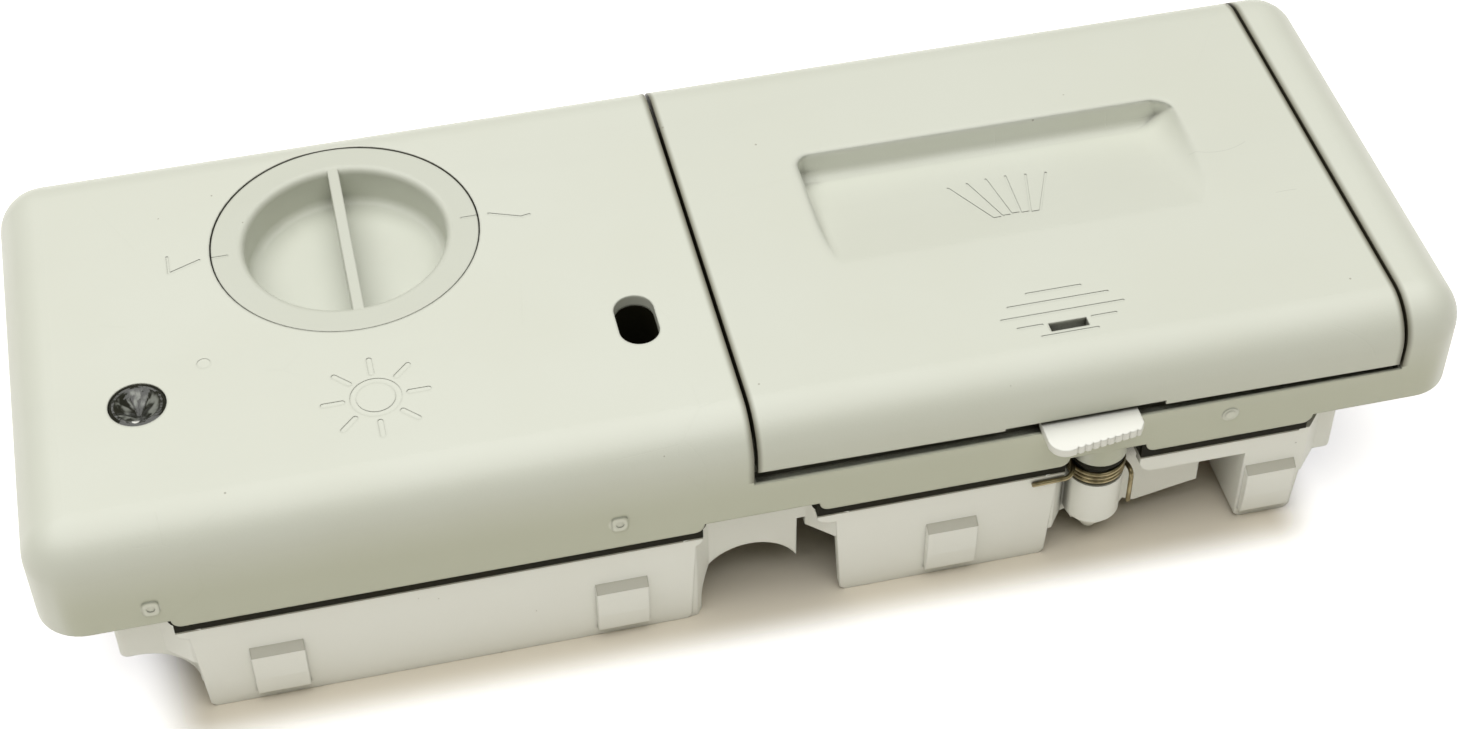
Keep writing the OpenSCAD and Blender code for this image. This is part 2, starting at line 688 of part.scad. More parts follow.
module rear_frame() {
    depth = setback + frame_t;
    back = rear_setback + frame_t;
    color(ivory) difference() {
        union() {
            difference() {
                union() {
                    ring();
                    segment(seg1_x, lip1_x, depth, [arch_z, 0]);
                    segment(seg2_x, lip2_x, depth, [arch_z + 2.6, arch_z / 2]);
                }
                arch_cut(seg1_x[1] + 1);
            }
            wedge(seg1_x[0] + 14.3);
            wedge(seg1_x[1] - 13.8);
            wedge(seg2_x[0] + 21.7);
            wedge(post_x[0] + 0.6 + wedge_w / 2);
            frame_post();
            nose();
            mirror([0, 1, 0]) {
                segment(seg1_x, lip1_x, back, [arch_z, arch_z]);
                segment([seg2_x[0], lip3_x[1] - 1.6], [lip2_x[0], lip3_x[1]], back, [arch_z, arch_z]);
                wedge(seg1_x[0] + 14.3);
                wedge(seg1_x[1] - 13.8);
                wedge(seg2_x[0] + 21.7);
                wedge((post_x[0] + post_x[1]) / 2);
            }
        }
        latch_cuts();
        for (c = frame_screw_c) rod_z(c, screw_r + 0.2, ring_top - flange_t - 1, ring_top + 1);
    }
}

// A rubber gasket under the frame's flange; its strips fill the seam round the tongues
module seam_strip(x, depth) {
    y0 = skirt_y - 0.1;
    y1 = skirt_y + depth - clear;
    behind = front_y + skin + play;
    tongue([x[0] - strip_t, x[1] + strip_t], [behind, y1], skirt_h, tongue_r + strip_t);
    // below the tongue and round its corners it comes forward between tongue and frame
    difference() {
        box(x[0], x[1], y0, behind + eps, skirt_h, skirt_h + seam + tongue_r);
        tongue(x, [front_y, behind + 1], skirt_h + seam);
    }
}

module frame_gasket() {
    z = ring_top - flange_t;
    color(rubber) difference() {
        union() {
            difference() {
                flange(z - gasket_t, z);
                round_block(ring_x0, ring_x1, ring_y, ring_back, z - gasket_t - 1, z + 1, ring_r);
            }
            for (x = front_tongue_x) seam_strip(x, setback);
            mirror([0, 1, 0]) for (x = rear_tongue_x) seam_strip(x, rear_setback);
        }
        rod_z(latch_c, boss_r + clear, skirt_h - 1, z + 1);
    }
}

// Rinse aid tank, welded by its rim to the underside of the fascia
tank_x = [ring_x0 + frame_t + 0.5, outlet_c[0] - 9];
tank_y = [ring_y + frame_t + 0.5, ring_back - frame_t - 0.4];
tank_t = 1.8;
tank_z = arch_z + 1.6;
tank_top = under_z - 1.5;
inlet = [-28, tank_z + tank_t + 2];
module tank_walls(z0, z1) {
    difference() {
        round_block(tank_x[0], tank_x[1], tank_y[0], tank_y[1], z0, z1, 5);
        round_block(tank_x[0] + tank_t, tank_x[1] - tank_t, tank_y[0] + tank_t, tank_y[1] - tank_t,
            z0 - 1, z1 + 1, 5 - tank_t);
    }
}
module rinse_tank() {
    color(natural) difference() {
        union() {
            tank_walls(tank_z, tank_top);
            round_block(tank_x[0] + 1, tank_x[1] - 1, tank_y[0] + 1, tank_y[1] - 1, tank_z, tank_z + tank_t, 4);
        }
        rod_x(inlet[0], inlet[1], 1.2, tank_x[1] - 3, tank_x[1] + 1);
    }
}

// Level lens: a clear plug with a prism tip inside the tank
module level_lens() {
    color([0.25, 0.26, 0.27, 0.6]) translate([lens_c[0], lens_c[1], 0]) rotate_extrude() polygon([
        [0, under_z - 7], [lens_r - 0.6, under_z - 1.5], [lens_r + 1.2, under_z - 1.5],
        [lens_r + 1.2, under_z], [lens_r, under_z], [lens_r, top_z - 0.3], [lens_r - 0.5, top_z],
        [lens_r - 0.9, top_z], [0, top_z - 3]]);
}

module lens_seal() {
    color(rubber) translate([lens_c[0], lens_c[1], under_z + 0.5]) rotate_extrude()
        translate([lens_r + 0.75, 0]) circle(r = 0.45, $fn = 24);
}

// Lid
scoop_c = [scoop_x0 + scoop_l / 2, scoop_rear];
module scoop(grow = 0) {
    depth = scoop_depth + grow;
    end_x = scoop_l / 2 + grow;
    end_r = scoop_end_r + grow;
    lift = 12;
    reach = 60;
    yaw = 6;
    intersection() {
        translate([scoop_c[0], scoop_rear + grow, top_z]) rotate([-scoop_slope, 0, 0]) mirror([0, 0, 1])
            intersection() {
                soft_plate(-end_x, end_x + 2, -reach, 0, -lift, depth, scoop_r + grow);
                // the right end curves up softly
                translate([end_x, 0, 0]) rotate([0, 0, yaw]) translate([-end_x, 10, 0])
                    rotate([90, 0, 0]) linear_extrude(reach + 20) {
                        translate([-reach, -lift]) square([reach + end_x - end_r, lift + depth]);
                        translate([end_x - end_r - eps, -lift]) square([end_r + eps, lift + depth - end_r]);
                        translate([end_x - end_r, depth - end_r]) circle(r = end_r);
                    }
            }
        scoop_plan(grow);
    }
}

// The scoop's outline on the lid
module scoop_plan(grow) {
    front = scoop_rear - scoop_depth / tan(scoop_slope) - 1.5;
    x1 = scoop_x0 + scoop_l + 0.3 + grow;
    translate([0, 0, top_z - 20]) linear_extrude(40) {
        round_rect(scoop_x0 - grow, x1, front - grow, scoop_rear + grow, 5 + grow);
        round_rect(scoop_x0 - grow, x1 - 20, front - grow, scoop_rear + grow, 3 + grow);
    }
}

// Spray sign on the scoop's floor, and the lines round the slot
module lid_marks() {
    translate([lid_slot_c[0], scoop_rear, top_z]) rotate([-scoop_slope, 0, 0]) translate([0, 0, -scoop_depth])
        for (i = [-2.5 : 2.5]) {
            foot = [1.8 * i, -22.4 - 0.25 * abs(i)];
            groove(foot, [3.8 * i, -9.6 - 0.5 * abs(i)]);
            if (abs(i) != 0.5 || i > 0) groove(foot, foot + [i > 0 ? -1.8 : 1.8, 0]);
        }
    translate([lid_slot_c[0], lid_slot_c[1], top_z]) {
        for (l = [[9, 5], [6.4, 9.2], [3.6, 11.2]]) groove([-l[1], l[0]], [l[1], l[0]]);
        for (s = [-1, 1]) groove([4.6 * s, 1], [9 * s, 1]);
        groove([-5.4, -1.8], [4.8, -1.8]);
    }
}

module scoop_shell() {
    intersection() {
        scoop(1.8);
        box(lid_x0 + 4, lid_x1 - 4, front_y + skin + 1, rear_y - skin - 1, top_z - scoop_depth * 2, top_z - 0.5);
    }
}

knuckle_x = [[lid_x0 + 0.6, ear_x[0] - clear], [ear_x[0] + ear_w + clear, ear_x[1] - clear],
    [ear_x[1] + ear_w + clear, lid_x1 - 0.6]];
module lid_plate() {
    difference() {
        intersection() {
            fascia_outer();
            box(lid_x0, lid_x1, front_y - 1, rear_y + 1, strip_z + lip_gap - 1, top_z + 1);
        }
        fascia_inner();
        // the front edge rises a little towards the left
        translate([lid_x1, front_y - 1, strip_z + lip_gap]) rotate([0, atan(lip_taper / lid_l), 0])
            translate([-lid_l - 2, 0, -9])
            cube([lid_l + 4, 12, 9]);
        // room for the finger tab
        box(latch_c[0] - 20, latch_c[0] + 9.5, front_y - 1, front_y + skin + 1,
            strip_z, strip_z + lip_gap + lip_taper / 2 + 0.7);
        box(lid_x0 - 1, lid_x1 + 1, hinge_c[0] - knuckle_r - 1, rear_y + 1, strip_z, hinge_c[1]);
    }
    for (x = [lid_x0, lid_x1 - 1.8])
        box(x, x + 1.8, front_y + skin + 0.5, rear_y - edge_r, under_z - 3.2, under_z + eps);
}

module lid_knuckles() {
    for (k = knuckle_x) {
        rod_x(hinge_c[0], hinge_c[1], knuckle_r, k[0], k[1]);
        box(k[0], k[1], rear_y - skin, rear_y, hinge_c[1], hinge_c[1] + 2);
    }
}

// The ledge that the latch's hook holds
catch_x = [latch_c[0] - 11.5, latch_c[0] - 4.5];
module lid_catch() {
    y = front_y + skin;
    translate([catch_x[0], 0, 0]) rotate([90, 0, 90]) linear_extrude(catch_x[1] - catch_x[0])
        polygon([[y - eps, strip_z + 3.4], [y + 1.2, strip_z + 3.4], [y + 1.2, strip_z + 4.4], [y - eps, strip_z + 5.6]]);
}

lid_slot_c = [latch_c[0] - 5.4, front_y + 12.2];
module lid() {
    color(grey) difference() {
        union() {
            lid_plate();
            lid_knuckles();
            lid_catch();
            scoop_shell();
        }
        scoop();
        rod_x(hinge_c[0], hinge_c[1], pin_r + play, lid_x0 - 1, lid_x1 + 1);
        for (x = ear_x) box(x - clear, x + ear_w + clear, hinge_c[0] - knuckle_r - 1, rear_y + 1,
            strip_z, hinge_c[1] + knuckle_r + clear);
        box(lid_slot_c[0] - 3.5, lid_slot_c[0] + 3.5, lid_slot_c[1] - 1, lid_slot_c[1] + 1, under_z - 1, top_z + 1);
        lid_marks();
    }
}

// Seal under the lid, on the well's rim
module lid_seal() {
    color(rubber) difference() {
        round_block(well_x0 - well_wall, well_x1 + well_wall, well_y0 - well_wall, well_y1 + well_wall,
            under_z - seal_h, under_z, well_r + well_wall);
        round_block(well_x0 + 0.4, well_x1 - 0.4, well_y0 + 0.4, well_y1 - 0.4,
            under_z - seal_h - 1, under_z + 1, well_r - 0.4);
    }
}

module hinge_pin() {
    color(steel) rod_x(hinge_c[0], hinge_c[1], pin_r, lid_x0 + 1, lid_x1 - 1);
}

// Latch: finger tab, hook, shaft and driven arm in one moulding
tab_z = strip_z + 0.25;
tab_x = [latch_c[0] - 13.3, latch_c[0] + 4.4];
module finger_tab() {
    y_in = front_y - 0.5;
    y_out = front_y - tab_out;
    r = 3;
    teeth = 9;
    pitch = (tab_x[1] - tab_x[0] - r - 2) / teeth;
    slope = 0.13;
    translate([0, 0, tab_z]) linear_extrude(tab_t) difference() {
        union() {
            polygon([[tab_x[0], y_in + 2], [tab_x[0], y_out + r], [tab_x[0] + r, y_out],
                [tab_x[1] - 1, y_out + 1.9], [tab_x[1], y_out + 3.4], [tab_x[1], y_in + 2]]);
            translate([tab_x[0] + r, y_out + r]) circle(r = r);
            translate(latch_c) circle(r = shaft_r + 0.6);
            translate([hook_x[0] - 0.6, front_y - 0.6]) square([16, 7]);
        }
        for (i = [0 : teeth - 1]) translate([tab_x[0] + r + 1 + pitch * (i + 0.5), y_out + slope * pitch * i + 0.05])
            rotate([0, 0, 45]) square([0.8, 0.8], center = true);
    }
}

hook_x = [catch_x[0] + 0.5, catch_x[1] - 0.5];
module hook() {
    y = front_y + skin + 1.2 + clear;
    translate([hook_x[0], 0, 0]) rotate([90, 0, 90]) linear_extrude(hook_x[1] - hook_x[0])
        polygon([[y + 0.8, tab_z + tab_t - eps], [y + 0.8, strip_z + 4.6], [y, strip_z + 4.9], [y, strip_z + 5.4],
            [y + 1, strip_z + 7], [y + 2.4, strip_z + 7], [y + 2.4, tab_z + tab_t - eps]]);
}

module driven_arm() {
    difference() {
        union() {
            box(latch_c[0] - 2.6, latch_c[0] + 2.6, latch_c[1], latch_c[1] + latch_arm - 3, arm_z, arm_z + arm_t);
            box(latch_c[0] - 3.3, latch_c[0] + 3.3, drive_y - 6.5, drive_y + 4, arm_z, arm_z + arm_t);
        }
        box(latch_c[0] - drive_pin_r - 0.2, latch_c[0] + drive_pin_r + 0.2,
            latch_c[1] + latch_arm - 2.4, latch_c[1] + latch_arm + 5, arm_z - 1, arm_z + arm_t + 1);
    }
}

module latch() {
    color(latch_white) {
        finger_tab();
        rod_z(latch_c, shaft_r, 5, tab_z + tab_t);
        hook();
        driven_arm();
    }
}

// Torsion spring between the boss and the nose
coil_mean_r = boss_r - wire_d / 2;
spring_z0 = nose_top + wire_d / 2 + play;
spring_pitch = wire_d + 0.03;
left_leg_l = 6;
right_leg_l = 8;
module latch_spring() {
    // from the lower turn's right side round to the upper turn's left side
    start = 8;
    turns = spring_turns + (180 - start) / 360;
    top = spring_z0 + spring_pitch * turns;
    front = skirt_y - wire_d / 2 - play - latch_c[1];
    leg_x = boss_r + 0.5;
    color(wire) translate([latch_c[0], latch_c[1], 0]) swept_wire(concat(
        [[leg_x, -3.4, spring_z0 - right_leg_l], [leg_x, -3.4, spring_z0 - 1], [leg_x, -3, spring_z0 - 0.3],
            [leg_x - 0.1, -2, spring_z0], [leg_x - 0.4, -0.8, spring_z0]],
        helix(coil_mean_r, spring_z0, spring_pitch, turns, start),
        [[-coil_mean_r - 0.1, -1.2, top], [-coil_mean_r - 0.4, -2.6, top - 0.1],
            [-coil_mean_r - 0.9, front + 0.6, top - 0.3], [-coil_mean_r - 1.8, front, top - 0.6], [-coil_mean_r - 2.8, front, top - 0.7],
            [-coil_mean_r - 2.8 - left_leg_l, front, top - 0.9]]), wire_d / 2);
}

// Rubber seal under the boss: a collar in its counterbore and a flange above the spring
module latch_seal() {
    flange = 1.2;
    color(rubber) difference() {
        union() {
            rod_z(latch_c, shaft_r + 1.5, boss_z - eps, boss_z + 1.2);
            rod_z(latch_c, boss_r - 0.2, boss_z - flange, boss_z);
        }
        rod_z(latch_c, shaft_r + play, boss_z - 3, boss_z + 3);
    }
}

// Rinse aid cap
cup_z = top_z - pocket_depth;
cap_foot_z = top_z - 14;
rim_r = 1.3;
floor_r = 1.6;

// Half of the grip pocket's section: a round rim at the face, a fillet at the floor
module pocket_profile() {
    r = pocket_r - rim_r;
    translate([0, cup_z + floor_r]) square([r, pocket_depth]);
    translate([0, cup_z]) square([r - floor_r, pocket_depth]);
    translate([r - floor_r, cup_z + floor_r]) circle(r = floor_r);
    difference() {
        translate([r - eps, top_z - rim_r]) square([rim_r + eps, rim_r + 1]);
        translate([pocket_r, top_z - rim_r]) circle(r = rim_r);
    }
}

module rinse_cap() {
    cup_r = neck_r - 0.3;
    color(grey) translate([cap_c[0], cap_c[1], 0]) difference() {
        union() {
            rotate_extrude() difference() {
                union() {
                    translate([0, seat_z + 0.1]) square([cap_r, top_z - seat_z - 0.1]);
                    translate([0, cap_foot_z]) square([cup_r, top_z - cap_foot_z - 1]);
                }
                pocket_profile();
                translate([0, cap_foot_z - 1]) square([cup_r - 2, cup_z - cap_foot_z - 1]);
                translate([cup_r - 1.1, cap_foot_z + 3.3]) square([2, 2]);
            }
            translate([-grip_t / 2, -pocket_r + 0.3, cup_z - eps])
                cube([grip_t, 2 * pocket_r - 0.6, pocket_depth - 0.1]);
            intersection() {
                translate([0, 0, groove_z[0] + 0.4])
                    cylinder(r = neck_r + lug_out, h = groove_z[1] - groove_z[0] - 0.8);
                translate([-neck_r - 3, -4, groove_z[0]]) cube([2 * neck_r + 6, 8, 5]);
                difference() {
                    cylinder(r = neck_r + 3, h = top_z);
                    translate([0, 0, -1]) cylinder(r = cup_r - 1, h = top_z + 2);
                }
            }
        }
        // ticks on the rim
        for (s = [-1, 1]) translate([0, 0, top_z]) groove([s * (cap_r - 2.8), 0], [s * (cap_r + 1), 0]);
    }
}

module cap_seal() {
    color(rubber) translate([cap_c[0], cap_c[1], cap_foot_z + 4.3]) rotate_extrude()
        translate([neck_r - 0.7, 0]) circle(r = 0.65, $fn = 24);
}

module dose_dial() {
    color(natural) translate([cap_c[0], cap_c[1], 0]) difference() {
        union() {
            translate([0, 0, neck_z - 1.4]) cylinder(r = dial_stem_r, h = 5);
            translate([0, 0, neck_z + 2.3]) cylinder(r = dial_r, h = 2.2);
            translate([-1, -dial_r + 2, neck_z + 4.4]) cube([2, 2 * dial_r - 4, 2.6]);
            translate([0, 0, neck_z - 1.4]) cylinder(r = dial_stem_r + 0.9, h = 1.1);
        }
        translate([0, dial_r - 1.6, neck_z + 2]) cylinder(r = 0.8, h = 4, $fn = 24);
    }
}

// Dosing chamber below the outlet, with the valve's bore along Y
chamber_x = [outlet_c[0] - 6.6, outlet_c[0] + 6.6];
chamber_y = [outlet_c[1] - 16, outlet_c[1] + 4];
valve_r = 4.2;
module dosing_chamber() {
    color(natural) difference() {
        union() {
            round_block(chamber_x[0], chamber_x[1], chamber_y[0], chamber_y[1], drive_z - 6.2, drive_z + 7, 2);
            slot_z(outlet_c, outlet_w + 3, outlet_l + 3, drive_z + 6, duct_z);
            box(tank_x[1], chamber_x[0] + 6, inlet[0] - 2.6, inlet[0] + 2.6, drive_z + 6, inlet[1] + 2.4);
        }
        rod_x(inlet[0], inlet[1], 1.2, tank_x[1] - 1, chamber_x[0] + 3.6);
        rod_z([chamber_x[0] + 3.6, inlet[0]], 1.2, drive_z, inlet[1]);
        rod_y(outlet_c[0], drive_z, valve_r, chamber_y[0] + 2, chamber_y[1] + 1);
        slot_z(outlet_c, outlet_w - 1, outlet_l - 1, drive_z + 8.4, duct_z + 1);
        rod_z(outlet_c, 1.6, drive_z, drive_z + 9);
        rod_y(outlet_c[0], drive_z, 1.2, chamber_y[0] - 1, chamber_y[0] + 3);
    }
}

plunger_y = [chamber_y[0] + 10.5, lever_c[1]];
module valve_plunger() {
    color(latch_white) difference() {
        union() {
            rod_y(outlet_c[0], drive_z, 1.9, plunger_y[0], plunger_y[1] - 5.5);
            rod_y(outlet_c[0], drive_z, valve_r - clear, plunger_y[0], plunger_y[0] + 5);
            box(outlet_c[0] - 2.4, outlet_c[0] + 2.4, plunger_y[1] - 6, plunger_y[1] + 2.6,
                arm_z + arm_t + clear, arm_z + arm_t + 3);
            box(outlet_c[0] - 2.4, outlet_c[0] + 2.4, plunger_y[1] - 7.3, plunger_y[1] - 4.8,
                drive_z - 1.9, arm_z + arm_t + 3);
            rod_z([outlet_c[0], plunger_y[1]], drive_pin_r, arm_z, arm_z + arm_t + 1);
        }
        difference() {
            rod_y(outlet_c[0], drive_z, valve_r + 1, plunger_y[0] + 1.6, plunger_y[0] + 3.4);
            rod_y(outlet_c[0], drive_z, valve_r - 1.8, plunger_y[0] + 1, plunger_y[0] + 4);
        }
    }
}

module valve_seal() {
    color(rubber) translate([outlet_c[0], plunger_y[0] + 2.5, drive_z]) rotate([90, 0, 0]) rotate_extrude()
        translate([valve_r - 1.05, 0]) circle(r = 0.7, $fn = 24);
}

module valve_spring() {
    y0 = chamber_y[0] + 2.6;
    y1 = plunger_y[0] - 0.4;
    color(steel) translate([outlet_c[0], y0, drive_z]) rotate([-90, 0, 0])
        swept_wire(helix(2.8, 0, (y1 - y0) / 5, 5, 0, 16), 0.35, 6);
}

// Solenoid on the drive line
yoke_t = 1.6;
yoke_x0 = latch_c[0] + 17;
yoke_x1 = yoke_x0 + coil_l + 4 + 2 * yoke_t;
yoke_w = 15.6;
yoke_top = well_under_z - 1;
yoke_screw_c = [[yoke_x0 + 5, drive_y + yoke_w / 2 + 4], [yoke_x0 + 17, drive_y + yoke_w / 2 + 4]];
module solenoid_yoke() {
    color(steel) difference() {
        union() {
            box(yoke_x0, yoke_x0 + yoke_t, drive_y - yoke_w / 2, drive_y + yoke_w / 2, drive_z - 7.4, yoke_top);
            box(yoke_x1 - yoke_t, yoke_x1, drive_y - yoke_w / 2, drive_y + yoke_w / 2, drive_z - 7.4, yoke_top);
            box(yoke_x0, yoke_x1, drive_y - yoke_w / 2, drive_y + yoke_w / 2, yoke_top - yoke_t, yoke_top);
            for (c = yoke_screw_c)
                box(c[0] - 3.4, c[0] + 3.4, drive_y + yoke_w / 2 - 1, c[1] + 3.4, yoke_top - yoke_t, yoke_top);
        }
        rod_x(drive_y, drive_z, armature_r + 0.5, yoke_x0 - 1, yoke_x0 + yoke_t + 1);
        rod_x(drive_y, drive_z, 2, yoke_x1 - yoke_t - 1, yoke_x1 + 1);
        for (c = yoke_screw_c) rod_z(c, screw_r + 0.2, yoke_top - yoke_t - 1, yoke_top + 1);
    }
}

bobbin_x = [yoke_x0 + yoke_t + 0.2, yoke_x1 - yoke_t - 0.2];
module coil_bobbin() {
    color(natural) difference() {
        union() {
            rod_x(drive_y, drive_z, armature_r + 1.2, bobbin_x[0], bobbin_x[1]);
            for (x = [bobbin_x[0], bobbin_x[1] - 1.6]) rod_x(drive_y, drive_z, coil_r, x, x + 1.6);
            box(bobbin_x[1] - 14, bobbin_x[1], drive_y + 3.9, drive_y + yoke_w / 2 + 1.5,
                drive_z - 6.9, drive_z - 4.3);
            box(bobbin_x[1] - 1.6, bobbin_x[1], drive_y, drive_y + yoke_w / 2, drive_z - 6.9, drive_z - 3);
        }
        rod_x(drive_y, drive_z, armature_r + 0.25, bobbin_x[0] - 1, bobbin_x[1] + 1);
    }
}

module coil_winding() {
    color(copper) difference() {
        rod_x(drive_y, drive_z, coil_r - 0.4, bobbin_x[0] + 1.7, bobbin_x[1] - 1.7);
        rod_x(drive_y, drive_z, armature_r + 1.25, bobbin_x[0], bobbin_x[1]);
        box(bobbin_x[1] - 15, bobbin_x[1], drive_y + 3, drive_y + yoke_w, drive_z - 8, drive_z - 3.4);
    }
}

armature_x = [latch_c[0] + 6.3, yoke_x0 + yoke_t + coil_l * 0.55];
module pole_piece() {
    color(steel) difference() {
        union() {
            rod_x(drive_y, drive_z, armature_r + 0.15, armature_x[1] + stroke + 0.4, yoke_x1 - yoke_t);
            rod_x(drive_y, drive_z, 1.95, yoke_x1 - yoke_t - 1, yoke_x1 + 0.6);
        }
    }
}

module armature() {
    color(steel) rod_x(drive_y, drive_z, armature_r, armature_x[0], armature_x[1]);
}

module armature_spring() {
    x0 = armature_x[0] + 2.2;
    x1 = yoke_x0 - 0.4;
    color(steel) translate([x0, drive_y, drive_z]) rotate([0, 90, 0])
        swept_wire(helix(armature_r + 0.9, 0, (x1 - x0) / 5, 5, 0, 16), 0.35, 6);
}

// Pull rod: links the armature, the latch and the dosing lever
module pull_rod() {
    color(latch_white) difference() {
        union() {
            box(lever_c[0] - 4, armature_x[0] + 2, drive_y - bar_w / 2, drive_y + bar_w / 2,
                bar_z, bar_z + bar_t);
            rod_x(drive_y, drive_z, armature_r + 2.1, armature_x[0] - 1.6, armature_x[0] + 1.8);
            rod_z([latch_c[0], drive_y], drive_pin_r, arm_z, bar_z + 1);
            rod_z([lever_c[0], drive_y], drive_pin_r, arm_z, bar_z + 1);
        }
        rod_x(drive_y, drive_z, armature_r, armature_x[0], armature_x[0] + 3);
    }
}

// Bell crank that works the dosing valve
lever_pin_r = 1.5;
hub_r = 3.6;
module fork(len) {
    difference() {
        translate([-3.6, -len - 4, 0]) cube([7.2, 8.5, arm_t]);
        translate([-drive_pin_r - 0.2, -len - 5, -1]) cube([2 * drive_pin_r + 0.4, 7.4, arm_t + 2]);
    }
    translate([-2.2, -len + 3, 0]) cube([4.4, len - 3, arm_t]);
}

module dosing_lever() {
    color(latch_white) translate([lever_c[0], lever_c[1], arm_z]) difference() {
        union() {
            fork(lever_arm);
            rotate([0, 0, -90]) fork(16);
            cylinder(r = hub_r, h = arm_t + 1);
        }
        translate([0, 0, -1]) cylinder(r = lever_pin_r + play, h = arm_t + 3);
    }
}

module lever_pin() {
    color(steel) difference() {
        rod_z(lever_c, lever_pin_r, arm_z - 2.4, drive_z + 14);
        difference() {
            rod_z(lever_c, lever_pin_r + 1, arm_z - 1.4, arm_z - 0.7);
            rod_z(lever_c, lever_pin_r - 0.4, arm_z - 2, arm_z);
        }
    }
}

module pin_clip() {
    color(steel) translate([lever_c[0], lever_c[1], arm_z - 1.35]) linear_extrude(0.6) difference() {
        circle(r = 3.2);
        circle(r = lever_pin_r - 0.35);
        translate([0, -0.9]) square([5, 1.8]);
    }
}

// Two spade terminals on the bobbin's foot
module spade_terminals() {
    color(steel) for (x = [bobbin_x[1] - 13, bobbin_x[1] - 6.6])
        difference() {
            union() {
                box(x, x + 5, drive_y + yoke_w / 2 - 1, drive_y + yoke_w / 2 + 9.5,
                    drive_z - 4.3, drive_z - 3.5);
                box(x + 1, x + 4, drive_y + 4.4, drive_y + yoke_w / 2, drive_z - 4.3, drive_z - 3.5);
            }
            rod_z([x + 2.5, drive_y + yoke_w / 2 + 6.5], 0.8, drive_z - 5, drive_z - 3);
        }
}

module yoke_screws() {
    color(steel) for (c = yoke_screw_c) {
        rod_z(c, screw_r - 0.05, yoke_top - yoke_t, yoke_top + 1.8);
        difference() {
            rod_z(c, 2.3, yoke_top - yoke_t - 1.4, yoke_top - yoke_t);
            box(c[0] - 1.6, c[0] + 1.6, c[1] - 0.3, c[1] + 0.3, yoke_top - yoke_t - 2, yoke_top - yoke_t - 0.8);
        }
    }
}

module frame_screws() {
    z = ring_top - flange_t;
    color(steel) for (c = frame_screw_c) {
        rod_z(c, screw_r - 0.05, z, ring_top + 2.2);
        difference() {
            rod_z(c, 2.2, z - 1.5, z);
            for (a = [0, 90])
                translate([c[0], c[1], z - 2]) rotate([0, 0, a]) translate([-1.4, -0.25, 0]) cube([2.8, 0.5, 1.3]);
        }
    }
}

fascia();
rear_frame();
frame_gasket();
rinse_tank();
level_lens();
lens_seal();
lid();
lid_seal();
hinge_pin();
latch();
latch_spring();
latch_seal();
rinse_cap();
cap_seal();
dose_dial();
outlet_sleeve();
dosing_chamber();
valve_plunger();
valve_seal();
valve_spring();
solenoid_yoke();
coil_bobbin();
coil_winding();
pole_piece();
armature();
armature_spring();
pull_rod();
dosing_lever();
lever_pin();
pin_clip();
spade_terminals();
yoke_screws();
frame_screws();
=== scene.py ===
"""The looks of a dishwasher's detergent dispenser: satin mouldings, rubber, wire and clear plastic."""
import math

import bpy
import numpy as np
from mathutils import Matrix, Vector


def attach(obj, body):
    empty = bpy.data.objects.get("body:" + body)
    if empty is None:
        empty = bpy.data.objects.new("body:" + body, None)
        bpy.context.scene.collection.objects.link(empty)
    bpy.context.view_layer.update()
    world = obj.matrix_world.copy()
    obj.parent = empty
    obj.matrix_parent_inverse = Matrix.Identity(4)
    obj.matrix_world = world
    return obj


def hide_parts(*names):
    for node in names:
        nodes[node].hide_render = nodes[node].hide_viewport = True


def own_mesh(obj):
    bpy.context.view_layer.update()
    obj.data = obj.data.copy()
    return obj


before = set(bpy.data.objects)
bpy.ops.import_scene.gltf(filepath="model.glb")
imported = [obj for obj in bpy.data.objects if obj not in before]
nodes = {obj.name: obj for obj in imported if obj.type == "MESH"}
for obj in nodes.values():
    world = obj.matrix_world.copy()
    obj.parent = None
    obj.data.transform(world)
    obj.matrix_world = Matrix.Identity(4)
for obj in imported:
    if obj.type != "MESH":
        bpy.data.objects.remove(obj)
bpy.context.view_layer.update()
MM = 0.001


# Shader maths
class Value:
    """A number, colour or vector on its way through a finish's nodes. Arithmetic on it adds Math nodes."""

    def __init__(self, finish, socket):
        self.finish, self.socket = finish, socket

    def _math(self, operation, *values, clamp=False):
        settings = {"operation": operation, "use_clamp": clamp}
        return self.finish.node("ShaderNodeMath", settings, dict(enumerate(values)))

    def __add__(self, other): return self._math("ADD", self, other)
    def __radd__(self, other): return self._math("ADD", other, self)
    def __sub__(self, other): return self._math("SUBTRACT", self, other)
    def __rsub__(self, other): return self._math("SUBTRACT", other, self)
    def __mul__(self, other): return self._math("MULTIPLY", self, other)
    def __rmul__(self, other): return self._math("MULTIPLY", other, self)
    def __truediv__(self, other): return self._math("DIVIDE", self, other)
    def __rtruediv__(self, other): return self._math("DIVIDE", other, self)
    def __pow__(self, other): return self._math("POWER", self, other)
    def __rpow__(self, other): return self._math("POWER", other, self)
    def __neg__(self): return self._math("MULTIPLY", self, -1)
    def __lt__(self, other): return self._math("LESS_THAN", self, other)
    def __gt__(self, other): return self._math("GREATER_THAN", self, other)

    def __abs__(self): return self._math("ABSOLUTE", self)

    def clamped(self):
        """The value, held between 0 and 1."""
        return self._math("ADD", self, 0, clamp=True)


